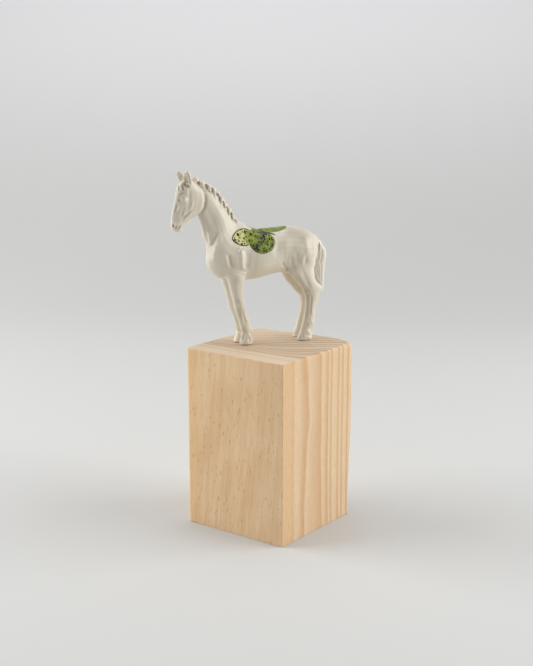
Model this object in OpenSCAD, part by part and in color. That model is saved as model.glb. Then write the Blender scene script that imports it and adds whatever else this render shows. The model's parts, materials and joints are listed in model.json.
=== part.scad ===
/* [Wooden block] */
// Length of the block's left face
block_left_l = 70; // [69:1:100]
// Length of the block's right face
block_right_l = 70; // [69:1:100]
// Height of the block
block_h = 110; // [60:1:160]
// Angle of the block under the horse, in degrees
block_turn = 32.5; // [30:0.5:35]
// Radius of the worn upright edge
worn_edge_r = 3; // [1:0.5:6]
// Chamfer of the other upright edges
edge_chamfer = 0.6; // [0.2:0.1:2]
// Distance of the horse behind the middle of the block
horse_back = 11; // [8:0.5:12]

/* [Trunk] */
// Length from the point of the shoulder to the buttock
body_l = 75; // [68:1:80]
// Depth from the leg joints to the withers
trunk_d = 36; // [32:1:42]
// Width of the barrel
trunk_w = 24; // [21:0.5:30]
// Height of the leg joints over the hooves
leg_l = 38; // [34:1:44]

/* [Neck] */
// Reach of the neck in front of the withers
neck_reach = 25; // [22:0.5:29]
// Rise of the poll over the withers
neck_rise = 24.5; // [22:0.5:28]
// Thickness of the neck halfway up
neck_w = 10; // [8:0.5:12]

/* [Head] */
// Length of the head from the poll to the lips
head_l = 31; // [28:0.5:34]
// Width of the head across the cheeks
head_w = 9; // [8:0.25:11]
// Slope of the face from the upright, in degrees
head_pitch = 16.5; // [10:0.5:25]
// Turn of the head to its own left, in degrees
head_turn = 6; // [0:1:10]
// Diameter of an eyeball
eye_d = 3; // [2.4:0.1:3.4]
// Diameter of a nostril
nostril_d = 1.5; // [1:0.1:1.8]

/* [Ears] */
// Length of an ear
ear_l = 10.2; // [8:0.2:12]
// Width of an ear
ear_w = 5.6; // [4.4:0.2:6.4]
// Thickness of the shell of an ear
ear_wall = 0.8; // [0.6:0.1:1]
// Forward tilt of the left ear, in degrees
left_ear_tilt = 12; // [0:1:30]
// Forward tilt of the right ear, in degrees
right_ear_tilt = 26; // [0:1:30]
// Turn of the left ear's opening outward, in degrees
left_ear_turn = 15; // [-30:5:60]
// Turn of the right ear's opening outward, in degrees
right_ear_turn = -20; // [-30:5:60]

/* [Mane and forelock] */
// Number of plaits along the crest
plait_n = 10; // [7:1:12]
// Height of a plait over the crest
plait_h = 2.2; // [1.4:0.1:3]
// Width of a plait across the crest
plait_w = 4.2; // [3.2:0.1:5]
// Width of one strand of the forelock
strand_w = 1.4; // [1:0.1:1.8]

/* [Legs] */
// Depth of a knee from front to back
knee_d = 8; // [7:0.25:9]
// Width of a knee
knee_w = 6.4; // [5.4:0.1:7]
// Depth of a hock from front to back
hock_d = 12; // [10.5:0.25:13]
// Width of a hock
hock_w = 6.4; // [5.4:0.1:7]
// Length of a fore hoof
fore_hoof_l = 8.8; // [8:0.1:10.5]
// Length of a hind hoof
hind_hoof_l = 10.5; // [9:0.1:11.5]
// Width of a hoof
hoof_w = 6.4; // [5.4:0.1:7]
// Height of a hoof
hoof_h = 5.5; // [4.5:0.1:6.5]
// Distance between the middles of the two fore hooves
fore_gap = 8; // [7.5:0.25:9.5]
// Distance between the middles of the two hind hooves
hind_gap = 9.6; // [9:0.25:11.5]
// Outward slant of a fore leg, from the hoof to the trunk
fore_splay = 1.9; // [1:0.1:2.5]
// Outward slant of a hind leg, from the hoof to the trunk
hind_splay = 0.9; // [0:0.1:1.5]
// Lead of the right fore hoof over the left one, less than zero where it trails
fore_lead = 1; // [-1.5:0.25:3]
// Lead of the right hind hoof over the left one, less than zero where it trails
hind_lead = -1; // [-1.5:0.25:3]

/* [Tail] */
// Length of the tail below the dock
tail_l = 31; // [24:1:35]
// Thickness of the tail from front to back
tail_d = 3.4; // [2.8:0.1:4]
// Width of the tail
tail_w = 4; // [3:0.1:5]

/* [Butterfly] */
// Length of the left wings along the flank
wing_l = 27; // [22:0.5:30]
// Depth of the left wings down the flank
wing_d = 15.5; // [12:0.5:17]
// Length of the right wings along the back
far_wing_l = 27; // [22:0.5:30]
// Reach of the right wings over the back
far_wing_d = 13.5; // [10:0.5:14]
// Thickness of the transfer film
film_t = 0.25; // [0.2:0.05:0.4]
// Width of the butterfly's body
bug_w = 1.8; // [1.4:0.1:2.6]
// Length of the butterfly's body
bug_l = 14; // [10:0.5:16]
// Turn of the butterfly's body out from the spine, in degrees
bug_turn = 21; // [10:1:25]

/* [Pegs and pins] */
// Diameter of a leg peg
leg_peg_d = 3; // [2:0.1:3.4]
// Diameter of the neck peg
neck_peg_d = 4; // [3:0.1:5]
// Diameter of the tail peg
tail_peg_d = 1.6; // [1.2:0.1:2]
// Length of a peg in its socket
peg_l = 5; // [4:0.25:6]
// Gap all round a peg in its socket
peg_gap = 0.1; // [0.05:0.05:0.2]
// Diameter of a hoof pin
pin_d = 1.5; // [1:0.1:1.6]
// Length of a hoof pin above the block
pin_up = 8; // [5:0.5:9]
// Length of a hoof pin inside the block
pin_down = 12; // [8:1:20]
// Gap all round a hoof pin
pin_gap = 0.05; // [0.05:0.05:0.1]

/* [Hidden] */
// Overrun of a cut past the face it opens
cut = 1;
// Points round the trunk, the head, a leg and a lock of hair
trunk_side_n = 26;
head_side_n = 20;
leg_side_n = 14;
hair_side_n = 10;
// Rings laid between two drawn sections
trunk_step_n = 2;

// TRUNK SECTIONS
// Back x, z, belly x, z, half width, height of the widest point, flattening of the top.
// x is a share of body_l, z of trunk_d over the leg joints, and the half width of trunk_w.
body_shares = [
  [0.485, 0.54, 0.480, 0.485, 0.05, 0.5, 0],
  [0.485, 0.61, 0.460, 0.39, 0.16, 0.5, 0],
  [0.455, 0.71, 0.430, 0.21, 0.34, 0.5, 0],
  [0.405, 0.805, 0.405, 0.125, 0.44, 0.5, 0],
  [0.335, 0.865, 0.345, 0.07, 0.50, 0.5, 0.05],
  [0.260, 0.89, 0.265, 0.07, 0.51, 0.5, 0.08],
  [0.185, 0.90, 0.185, 0.11, 0.49, 0.5, 0.05],
  [0.115, 0.89, 0.120, 0.125, 0.475, 0.5, 0],
  [0.025, 0.88, 0.025, 0.09, 0.49, 0.5, 0],
  [-0.06, 0.88, -0.06, 0.05, 0.50, 0.48, 0.1],
  [-0.125, 0.915, -0.145, 0.035, 0.49, 0.48, 0.25],
  [-0.18, 0.97, -0.24, 0.04, 0.47, 0.46, 0.4],
  [-0.215, 0.995, -0.335, 0.07, 0.445, 0.45, 0.45],
  [-0.24, 1.015, -0.415, 0.135, 0.41, 0.45, 0.45],
  [-0.262, 1.06, -0.47, 0.26, 0.375, 0.45, 0.42]
];
// Which body section carries the withers, and which the point of the chest
withers_row = 12;
chest_row = 14;

// NECK SECTIONS
// Crest, forward and up from the withers, then throat, forward and up from the chest,
// as shares of neck_reach and neck_rise, then the half width as a share of neck_w.
neck_shares = [
  [0.215, 0.19, 0.07, 0.25, 0.80, 0.45, 0.4],
  [0.265, 0.30, 0.045, 0.51, 0.66, 0.45, 0.4],
  [0.35, 0.455, 0.07, 0.76, 0.56, 0.45, 0.4],
  [0.47, 0.605, 0.145, 0.96, 0.48, 0.45, 0.4],
  [0.62, 0.77, 0.21, 1.17, 0.43, 0.45, 0.4],
  [0.80, 0.89, 0.255, 1.37, 0.38, 0.45, 0.4],
  [1.00, 1.00, 0.32, 1.58, 0.34, 0.45, 0.4]
];
// Which neck section is the joint with the head
joint_row = 4;

// MUSCLES
// Middle x, z, reach along x, z, and lift of the skin, as shares of body_l, trunk_d and trunk_w.
muscle_shares = [
  [-0.36, 0.52, 0.10, 0.30, 0.045],
  [-0.245, 0.36, 0.05, 0.22, 0.03],
  [-0.165, 0.36, 0.05, 0.34, -0.03],
  [0.33, 0.52, 0.11, 0.30, 0.035],
  [0.155, 0.40, 0.06, 0.20, -0.04]
];

// HEAD SECTIONS
// Face and jaw points, down the face and forward, then the half width, widest height, crest
// and roundness: 1 is an ellipse and less is squarer, as the cheeks are.
// The first four are shares of head_l from the poll, and the half width is a share of head_w.
head_shares = [
  [-0.005, 0.24, -0.005, 0.09, 0.16, 0.5, 0, 1],
  [0.035, 0.31, 0.035, 0.025, 0.30, 0.48, 0, 0.85],
  [0.130, 0.35, 0.105, -0.08, 0.43, 0.44, 0.1, 0.7],
  [0.250, 0.355, 0.195, -0.18, 0.49, 0.38, 0.25, 0.6],
  [0.365, 0.35, 0.310, -0.235, 0.52, 0.36, 0.4, 0.6],
  [0.480, 0.34, 0.435, -0.24, 0.49, 0.37, 0.45, 0.62],
  [0.580, 0.335, 0.545, -0.19, 0.43, 0.40, 0.45, 0.72],
  [0.680, 0.33, 0.650, -0.09, 0.37, 0.43, 0.35, 0.85],
  [0.765, 0.325, 0.750, -0.01, 0.32, 0.45, 0.2, 0.9],
  [0.845, 0.32, 0.830, 0.035, 0.31, 0.5, 0, 0.9],
  [0.910, 0.31, 0.895, 0.05, 0.31, 0.5, 0, 0.9],
  [0.960, 0.275, 0.955, 0.06, 0.27, 0.5, 0, 0.95],
  [0.990, 0.22, 0.990, 0.11, 0.18, 0.5, 0, 1]
];
// Eye and nostril, down the face and forward as shares of head_l, and outward of head_w
eye_share = [0.375, 0.215, 0.40];
nostril_share = [0.905, 0.245, 0.26];

// EARS
// Foot of an ear, down the face, forward and outward, as shares of head_l and head_w
ear_foot_share = [0.12, 0.19, 0.29];
// Height up the ear, width and depth, as shares of ear_l, ear_w and ear_w
ear_shares = [
  [0, 0.64, 0.62],
  [0.22, 0.90, 0.76],
  [0.45, 1.00, 0.74],
  [0.68, 0.84, 0.58],
  [0.87, 0.50, 0.34],
  [1, 0.08, 0.08]
];
// Outward tilt of an ear, in degrees
ear_out_tilt = 12;

// Shift of the hollow toward the opening, as a share of ear_w
hollow_share = 0.2;

// FORELOCK
// Down the face and forward as shares of head_l, and thickness as a share of strand_w
forelock_shares = [
  [-0.01, 0.12, 0.5],
  [0.02, 0.26, 1],
  [0.12, 0.33, 1.15],
  [0.22, 0.345, 1],
  [0.30, 0.345, 0.4]
];
strand_n = 3;
// Distance between locks as a share of strand_w, and their fall to the left of head_w
strand_pitch_share = 0.75;
forelock_fall_share = 0.16;

// MANE
// Height and width through one plait, from gap to gap, as shares of plait_h and plait_w
plait_shares = [
  [0.78, 0.60],
  [0.94, 0.94],
  [1, 1],
  [0.90, 0.94]
];
// Depth of the root of a plait inside the crest, as a share of its height
root_share = 1.4;
// Forward lean of a plait down the side of the neck, as a share of its width
lean_share = 0.35;
// Front end of the mane past the poll, forward and up, as shares of neck_reach and neck_rise
mane_end_share = [0.15, 0.03];

// LEGS
// Height over the hooves, forward lean, depth, width and tilt in degrees, where height and
// lean are shares of leg_l and the rest are shares of the knee or the hock.
fore_shares = [
  [1.00, 0.180, 1.30, 1.19, 0],
  [0.92, 0.169, 1.17, 1.09, 0],
  [0.79, 0.148, 1.01, 0.97, 0],
  [0.70, 0.128, 0.96, 0.93, 0],
  [0.62, 0.110, 1.01, 1.00, 0],
  [0.54, 0.090, 0.95, 0.93, 0],
  [0.45, 0.067, 0.86, 0.80, 0],
  [0.34, 0.036, 0.82, 0.75, 0],
  [0.265, 0.015, 0.84, 0.82, 0],
  [0.225, 0.007, 0.79, 0.76, 0],
  [0.185, 0.010, 0.60, 0.68, 0]
];
hind_shares = [
  [1.00, 0, 1.18, 1.25, 0],
  [0.935, -0.054, 1.04, 1.09, 7],
  [0.866, -0.109, 1.01, 1.00, 10],
  [0.800, -0.142, 0.98, 0.98, 12],
  [0.718, -0.143, 0.86, 0.95, 10],
  [0.632, -0.128, 0.71, 0.86, 7],
  [0.546, -0.110, 0.62, 0.80, 4],
  [0.434, -0.090, 0.59, 0.75, 0],
  [0.342, -0.074, 0.62, 0.76, 0],
  [0.270, -0.063, 0.66, 0.82, 0],
  [0.226, -0.047, 0.62, 0.76, 0],
  [0.190, -0.026, 0.55, 0.70, 0]
];
// The roots of the legs inside the trunk, with their height over the joint as a share of trunk_d
fore_root_shares = [
  [0.50, 0.22, 0.9, 0.9, 0],
  [0.34, 0.22, 1.45, 1.25, 0],
  [0.22, 0.205, 1.58, 1.36, 0],
  [0.11, 0.19, 1.48, 1.30, 0]
];
hind_root_shares = [
  [0.62, 0.05, 1.2, 1.1, 0],
  [0.50, 0.05, 1.62, 1.6, 0],
  [0.335, 0.055, 1.64, 1.72, 0],
  [0.18, 0.075, 1.54, 1.55, 3],
  [0.09, 0.044, 1.37, 1.42, 2]
];
// Height, shift to the rear, length and width of a hoof, as shares of its own sizes
fore_hoof_shares = [
  [1, -0.03, 0.66, 0.76],
  [0.9, -0.015, 0.72, 0.82],
  [0.5, 0, 0.84, 0.92],
  [0, 0, 1, 1]
];
hind_hoof_shares = [
  [1, 0.07, 0.70, 0.78],
  [0.9, 0.06, 0.75, 0.83],
  [0.5, 0.04, 0.88, 0.92],
  [0, 0, 1, 1]
];
// Place of the left hooves along the body, as shares of body_l
fore_hoof_share = -0.171;
hind_hoof_share = 0.329;
// Place of a pin behind the middle of its hoof, as a share of the hoof's length
fore_pin_share = -0.03;
hind_pin_share = 0.09;

// TAIL
// Outer x, z and inner x, z from the dock as shares of tail_d and tail_l, and half width of tail_w
tail_shares = [
  [-0.95, 0.04, -1.35, -0.04, 0.34],
  [-0.05, 0.00, -0.90, -0.09, 0.42],
  [0.42, -0.10, -0.85, -0.16, 0.46],
  [0.68, -0.25, -0.85, -0.265, 0.49],
  [0.71, -0.38, -0.95, -0.38, 0.50],
  [0.53, -0.50, -1.10, -0.49, 0.50],
  [0.35, -0.62, -1.15, -0.61, 0.48],
  [0.20, -0.74, -1.02, -0.73, 0.42],
  [0.07, -0.84, -0.78, -0.83, 0.33],
  [-0.02, -0.93, -0.50, -0.925, 0.2],
  [-0.12, -1, -0.26, -1, 0.07]
];
// Dock behind the end of the trunk, as a share of tail_d, and its height as a share of trunk_d
dock_share = [0.5, 0.635];
// Tilt of the tail peg from the level, in degrees
tail_peg_tilt = 15;

// BUTTERFLY
// Outlines of the left wings on the flank, as shares of wing_l and wing_d from the wing root
fore_wing_shares = [
  [0.08, 0.05], [-0.08, 0.16], [-0.24, 0.11], [-0.37, -0.04],
  [-0.41, -0.20], [-0.34, -0.34], [-0.20, -0.45], [-0.04, -0.44], [0.05, -0.22]
];
hind_wing_shares = [
  [-0.05, -0.02], [0.14, 0.10], [0.30, 0.06], [0.44, -0.03], [0.55, -0.20],
  [0.57, -0.42], [0.48, -0.66], [0.29, -0.78], [0.11, -0.70], [-0.01, -0.46]
];
// Outlines of the right wings in plan, forward and across the back, as shares of far_wing_l and
// far_wing_d from the body's tail end
far_fore_shares = [
  [-0.26, 0.50], [-0.40, 0.46], [-0.56, 0.60], [-0.62, 0.84],
  [-0.56, 1.10], [-0.42, 1.24], [-0.28, 1.14], [-0.18, 0.86]
];
far_hind_shares = [
  [-0.26, 0.44], [-0.12, 0.24], [0.06, 0.20], [0.22, 0.28], [0.31, 0.48],
  [0.29, 0.76], [0.18, 1.02], [0.00, 1.10], [-0.16, 0.92], [-0.24, 0.66]
];
// Half outline of the butterfly's body, as shares of bug_l and bug_w from its tail end
bug_shares = [
  [0, 0.08], [0.2, 0.24], [0.45, 0.34], [0.58, 0.30], [0.7, 0.5], [0.86, 0.46], [0.93, 0.26], [1, 0.2]
];
// Root of the left wings and tail end of the body, as shares of body_l and of trunk_d or trunk_w
wing_root_share = [-0.160, 0.84];
bug_tail_share = [0.06, -0.31];
// First and last body section under the film
film_rows = [4, 14];

// SKINS
// Smooth curve through b and c, with a before them and d after
function curve(a, b, c, d, t) =
  0.5*(2*b + (c - a)*t + (2*a - 5*b + 4*c - d)*t*t + (3*b - a - 3*c + d)*t*t*t);
function held(v, i) = v[max(0, min(len(v) - 1, i))];
function smooth(v, n) = [
  for (i = [0:len(v) - 2])
    for (k = [0:n - 1])
      curve(held(v, i - 1), v[i], v[i + 1], held(v, i + 2), k/n),
  v[len(v) - 1]
];
function round_trip(v, n) = [
  for (i = [0:len(v) - 1])
    for (k = [0:n - 1])
      let (m = len(v))
      curve(v[(i + m - 1)%m], v[i], v[(i + 1)%m], v[(i + 2)%m], k/n)
];
// Height of the skin over the plain section at a place on the flank
function lift(x, z) = trunk_w*sum([
  for (m = muscle_shares)
    let (u = (x - m[0]*body_l)/(m[2]*body_l), v = (z - leg_l - m[1]*trunk_d)/(m[3]*trunk_d))
    m[4]*exp(-u*u - v*v)
]);
function reversed(v) = [for (i = [len(v) - 1:-1:0]) v[i]];
function sum(v, i = 0) = i < len(v) ? v[i] + sum(v, i + 1) : 0;
// One ring round a section s = [top x, z, bottom x, z, half width, widest height, crest, and
// roundness where it isn't 1] in the plane y = mid, grown outward by extra
function ring(s, mid, n, extra = 0, muscle = 0) = [
  for (k = [0:n - 1])
    let (c = cos(360*k/n), q = sin(360*k/n))
    let (u = q >= 0 ? s[5] + (1 - s[5])*q : s[5] + s[5]*q)
    let (size = norm([s[0] - s[2], s[1] - s[3]]))
    let (grow = 1 + 2*extra/size, v = 0.5 + (u - 0.5)*grow)
    let (x = s[2] + v*(s[0] - s[2]), z = s[3] + v*(s[1] - s[3]))
    let (w = s[4]*(1 - s[6]*pow(max(0, q), 2)) + extra)
    let (b = len(s) > 7 ? sign(c)*pow(abs(c), s[7]) : c)
    let (pad = muscle*sign(c)*sqrt(abs(c))*lift(x, z))
    [x, mid + w*b + pad, z]
];
module skin(rings) {
  n = len(rings[0]);
  m = len(rings);
  points = [for (r = rings) each r];
  faces = concat(
    [[for (k = [n - 1:-1:0]) k]],
    [
      for (j = [0:m - 2])
        for (k = [0:n - 1])
          let (a = j*n + k, b = j*n + (k + 1)%n)
          each [[a, b + n, a + n], [a, b, b + n]]
    ],
    [[for (k = [0:n - 1]) (m - 1)*n + k]]
  );
  polyhedron(points, faces);
}

// PLACES
// A trunk point and a point of the head, from their shares
function body_x(s) = s*body_l;
function body_z(s) = leg_l + s*trunk_d;
withers = [body_x(body_shares[withers_row][0]), body_z(body_shares[withers_row][1])];
chest = [body_x(body_shares[chest_row][2]), body_z(body_shares[chest_row][3])];
poll = [withers[0] - neck_reach, withers[1] + neck_rise];
dock = [body_x(body_shares[0][0]) + dock_share[0]*tail_d, body_z(dock_share[1])];
wing_root = [body_x(wing_root_share[0]), body_z(wing_root_share[1])];
body_sections = [
  for (s = body_shares)
    [body_x(s[0]), body_z(s[1]), body_x(s[2]), body_z(s[3]), s[4]*trunk_w, s[5], s[6]]
];
neck_sections = [
  for (s = neck_shares)
    [
      withers[0] - s[0]*neck_reach, withers[1] + s[1]*neck_rise,
      chest[0] - s[2]*neck_reach, chest[1] + s[3]*neck_rise,
      s[4]*neck_w, s[5], s[6]
    ]
];
topline = smooth(concat(body_sections, neck_sections), trunk_step_n);
// Index in the topline of the joint with the head
joint_ring = (len(body_shares) + joint_row)*trunk_step_n;
joint = topline[joint_ring];
joint_mid = [(joint[0] + joint[2])/2, (joint[1] + joint[3])/2];
neck_angle = atan2(joint[0] - joint[2], joint[1] - joint[3]) - 90;

// TRUNK
module trunk_skin(first, last, extra = 0) {
  skin([for (i = [first:last]) ring(topline[i], 0, trunk_side_n, extra, 1)]);
}
// Peg or socket that crosses a joint, down the way that the leg hangs
module peg(d, l) {
  translate([0, 0, -l]) cylinder(d = d, h = 2*l, $fn = 24);
}
module neck_peg(d, l) {
  translate([joint_mid[0], 0, joint_mid[1]]) rotate([0, neck_angle, 0]) peg(d, l);
}
module tail_peg(d, l) {
  translate([dock[0] - tail_d/2, 0, dock[1] - tail_d/2])
    rotate([0, -90 - tail_peg_tilt, 0])
      cylinder(d = d, h = l, $fn = 24);
}

// LEGS
// One ring round a leg, of depth d and width w, tilted front down
function leg_ring(x, y, z, d, w, tilt) =
  ring([x - d/2*cos(tilt), z - d/2*sin(tilt), x + d/2*cos(tilt), z + d/2*sin(tilt), w/2, 0.5, 0],
    y, leg_side_n);
function hoof_x(hind) = body_x(hind ? hind_hoof_share : fore_hoof_share);
function hoof_lead(hind, side) = side < 0 ? 0 : hind ? hind_lead : fore_lead;
function hoof_y(hind, side) = side*(hind ? hind_gap : fore_gap)/2;
function splay(hind, side) = side*(hind ? hind_splay : fore_splay);
function joint_y(hind, side) = hoof_y(hind, side) + splay(hind, side);
function hoof_l(hind) = hind ? hind_hoof_l : fore_hoof_l;
function joint_d(hind) = hind ? hock_d : knee_d;
function joint_w(hind) = hind ? hock_w : knee_w;
function joint_x(hind) = hoof_x(hind) - (hind ? hind_shares : fore_shares)[0][1]*leg_l;
// The lean of a row is forward, and the lead fades out toward the joint
function leg_rings(hind, side) = [
  for (s = hind ? hind_shares : fore_shares)
    leg_ring(
      hoof_x(hind) - s[1]*leg_l - (1 - s[0])*hoof_lead(hind, side),
      hoof_y(hind, side) + splay(hind, side)*s[0],
      s[0]*leg_l, s[2]*joint_d(hind), s[3]*joint_w(hind), s[4])
];
function hoof_rings(hind, side) = [
  for (s = hind ? hind_hoof_shares : fore_hoof_shares)
    leg_ring(
      hoof_x(hind) + s[1]*hoof_l(hind) - (1 - s[0]*hoof_h/leg_l)*hoof_lead(hind, side),
      hoof_y(hind, side) + splay(hind, side)*s[0]*hoof_h/leg_l,
      s[0]*hoof_h, s[2]*hoof_l(hind), s[3]*hoof_w, 0)
];
function root_rings(hind, side) = [
  for (s = hind ? hind_root_shares : fore_root_shares)
    leg_ring(
      hoof_x(hind) - s[1]*leg_l, joint_y(hind, side),
      leg_l + s[0]*trunk_d, s[2]*joint_d(hind), s[3]*joint_w(hind), s[4])
];
module leg_root(hind, side) {
  skin(smooth(concat(root_rings(hind, side), [leg_rings(hind, side)[0]]), 2));
}
module at_pin(hind, side) {
  share = hind ? hind_pin_share : fore_pin_share;
  translate([
    hoof_x(hind) + share*hoof_l(hind) - hoof_lead(hind, side), hoof_y(hind, side), 0
  ])
    children();
}
module leg(hind, side) {
  color("ivory") union() {
    difference() {
      skin(concat(smooth(leg_rings(hind, side), 2), hoof_rings(hind, side)));
      at_pin(hind, side)
        translate([0, 0, -cut]) cylinder(d = pin_d + 2*pin_gap, h = pin_up + pin_gap + cut, $fn = 24);
    }
    translate([joint_x(hind), joint_y(hind, side), leg_l - peg_l/2])
      cylinder(d = leg_peg_d, h = 1.5*peg_l, $fn = 24);
  }
}
module pin(hind, side) {
  color("silver") at_pin(hind, side)
    translate([0, 0, -pin_down]) cylinder(d = pin_d, h = pin_down + pin_up, $fn = 24);
}

// BODY WITH NECK
module horse_body() {
  color("ivory") difference() {
    union() {
      trunk_skin(0, joint_ring);
      for (hind = [false, true])
        for (side = [-1, 1])
          leg_root(hind, side);
    }
    neck_peg(neck_peg_d + 2*peg_gap, peg_l + peg_gap);
    tail_peg(tail_peg_d + 2*peg_gap, peg_l + tail_d + peg_gap);
    for (hind = [false, true])
      for (side = [-1, 1])
        translate([joint_x(hind), joint_y(hind, side), leg_l - cut])
          cylinder(d = leg_peg_d + 2*peg_gap, h = cut + peg_l + peg_gap, $fn = 24);
  }
}

// HEAD
// A place on the head, down the face and forward, as shares of head_l
function face(s, f) = [
  -head_l*(s*sin(head_pitch) + f*cos(head_pitch)),
  head_l*(f*sin(head_pitch) - s*cos(head_pitch))
];
function face_section(s) =
  let (a = face(s[0], s[1]), b = face(s[2], s[3]))
  [a[0], a[1], b[0], b[1], s[4]*head_w, s[5], s[6], s[7]];
module at_poll() {
  translate([poll[0], 0, poll[1]]) rotate([0, 0, head_turn]) children();
}
module on_face(place, side) {
  p = face(place[0], place[1]);
  translate([p[0], side*place[2]*head_w, p[1]]) children();
}
module head_skin() {
  at_poll() skin([for (s = smooth([for (h = head_shares) face_section(h)], 2)) ring(s, 0, head_side_n)]);
}
module upper_neck() {
  trunk_skin(joint_ring, len(topline) - 1);
}
module head() {
  color("ivory") difference() {
    union() {
      head_skin();
      upper_neck();
      at_poll() for (side = [-1, 1]) on_face(eye_share, side) sphere(d = eye_d, $fn = 16);
      neck_peg(neck_peg_d, peg_l);
    }
    at_poll() for (side = [-1, 1]) on_face(nostril_share, side) sphere(d = nostril_d, $fn = 12);
  }
}

// EARS
function ear_ring(s, wall) = [
  for (k = [0:hair_side_n + 1])
    let (t = 360*k/(hair_side_n + 2))
    [(s[2]*ear_w/2 - wall)*cos(t), (s[1]*ear_w/2 - wall)*sin(t), s[0]*ear_l]
];
module ear_shell() {
  difference() {
    skin(reversed([for (s = smooth(ear_shares, 2)) ear_ring(s, 0)]));
    translate([-hollow_share*ear_w, 0, 0])
      skin([
        for (i = [len(ear_shares) - 2:-1:1]) ear_ring(ear_shares[i], ear_wall*ear_shares[i][1])
      ]);
  }
}
module ear(side, tilt, turn) {
  color("ivory") difference() {
    at_poll() on_face(ear_foot_share, side)
      rotate([-side*ear_out_tilt, -tilt, 0])
        rotate([0, 0, -side*turn])
          ear_shell();
    head_skin();
    upper_neck();
  }
}

// FORELOCK
// Upward side of a way t along the mid-plane, and a round ring across a path in it
function across(t) = [t[1], -t[0]]/norm(t);
function strand_ring(path, i, r, off) =
  let (up = across(held(path, i + 1) - held(path, i - 1)), side = off + path_side(i/len(path)))
  [
    for (k = [0:hair_side_n - 1])
      let (c = cos(360*k/hair_side_n), q = sin(360*k/hair_side_n))
      [path[i][0] + r*up[0]*q, side + r*c, path[i][1] + r*up[1]*q]
  ];
function path_side(t) = -forelock_fall_share*head_w*t;
module forelock() {
  color("ivory") difference() {
    at_poll()
      for (i = [0:strand_n - 1]) {
        off = (i - (strand_n - 1)/2)*strand_w*strand_pitch_share;
        locks = smooth(forelock_shares, 2);
        path = [for (s = locks) face(s[0], s[1])];
        skin([for (i = [0:len(path) - 1]) strand_ring(path, i, locks[i][2]*strand_w/2, off)]);
      }
    head_skin();
    upper_neck();
  }
}

// MANE
// Lengths along the crest from the withers to the poll
crest = [
  for (i = [withers_row*trunk_step_n:len(topline) - 1]) [topline[i][0], topline[i][1]],
  [poll[0] - mane_end_share[0]*neck_reach, poll[1] + mane_end_share[1]*neck_rise]
];
crest_run = [for (i = 0, d = 0; i < len(crest); d = d + (i + 1 < len(crest) ?
  norm(crest[i + 1] - crest[i]) : 0), i = i + 1) d];
crest_l = crest_run[len(crest) - 1];
function crest_at(d) = [
  lookup(d, [for (i = [0:len(crest) - 1]) [crest_run[i], crest[i][0]]]),
  lookup(d, [for (i = [0:len(crest) - 1]) [crest_run[i], crest[i][1]]])
];
function mane_ring(i) =
  let (m = len(plait_shares), n = plait_n*m, d = crest_l*i/n, e = crest_l/n)
  let (a = crest_at(max(0, d - e)), b = crest_at(min(crest_l, d + e)), p = crest_at(d))
  let (t = (b - a)/norm(b - a), up = across(t))
  let (end = i == 0 || i == n ? 0.5 : 1, s = end*plait_shares[i%m])
  let (h = s[0]*plait_h, w = s[1]*plait_w/2, root = root_share*plait_h)
  [
    for (k = [0:hair_side_n - 1])
      let (c = cos(360*k/hair_side_n), q = sin(360*k/hair_side_n))
      let (r = q >= 0 ? h*q : root*q, f = lean_share*w*min(0, q))
      [p[0] + r*up[0] + f*t[0], w*c, p[1] + r*up[1] + f*t[1]]
  ];
module mane() {
  color("ivory") difference() {
    skin([for (i = [0:plait_n*len(plait_shares)]) mane_ring(i)]);
    trunk_skin(withers_row*trunk_step_n - 2, len(topline) - 1);
    head_skin();
  }
}

// TAIL
module tail() {
  color("ivory") union() {
    difference() {
      skin([
        for (s = reversed(smooth(tail_shares, 2)))
          ring([
            dock[0] + s[0]*tail_d, dock[1] + s[1]*tail_l,
            dock[0] + s[2]*tail_d, dock[1] + s[3]*tail_l,
            s[4]*tail_w, 0.5, 0
          ], 0, hair_side_n + 2)
      ]);
      trunk_skin(0, 3*trunk_step_n);
      for (side = [-1, 1]) leg_root(true, side);
    }
    tail_peg(tail_peg_d, peg_l + tail_d);
  }
}

// BUTTERFLY
module film() {
  difference() {
    trunk_skin(film_rows[0]*trunk_step_n, film_rows[1]*trunk_step_n, film_t);
    trunk_skin(film_rows[0]*trunk_step_n - 1, film_rows[1]*trunk_step_n + 1);
  }
}
module outline(shares, l, d) {
  polygon([for (p = round_trip(shares, 3)) [p[0]*l, p[1]*d]]);
}
// Upright column over the butterfly's body, and one over the right wings
module at_bug() {
  translate([body_x(bug_tail_share[0]), bug_tail_share[1]*trunk_w, body_z(wing_root_share[1] - 0.5)])
    children();
}
module bug_column(grow = 0) {
  half = [for (p = bug_shares) [-p[0]*bug_l, p[1]*bug_w]];
  at_bug() rotate([0, 0, -bug_turn]) linear_extrude(trunk_d)
    offset(delta = grow) polygon(concat(half, reversed([for (p = half) [p[0], -p[1]]])));
}
module wings_left() {
  color("yellowgreen") difference() {
    intersection() {
      film();
      translate([wing_root[0], 0, wing_root[1]]) rotate([90, 0, 0]) union() {
        linear_extrude(trunk_w) outline(fore_wing_shares, wing_l, wing_d);
        linear_extrude(trunk_w) outline(hind_wing_shares, wing_l, wing_d);
      }
    }
    bug_column(film_t);
    right_column(film_t);
    at_bug() rotate([0, 0, -bug_turn]) translate([-bug_l, 0, 0]) cube([bug_l, trunk_w, trunk_d]);
  }
}
module right_column(grow = 0) {
  at_bug() union() {
    linear_extrude(trunk_d) offset(delta = grow) outline(far_fore_shares, far_wing_l, far_wing_d);
    linear_extrude(trunk_d) offset(delta = grow) outline(far_hind_shares, far_wing_l, far_wing_d);
  }
}
module wings_right() {
  color("yellowgreen") difference() {
    intersection() {
      film();
      right_column();
    }
    bug_column(film_t);
  }
}
module butterfly_body() {
  color("darkolivegreen") intersection() {
    film();
    bug_column();
  }
}

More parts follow.
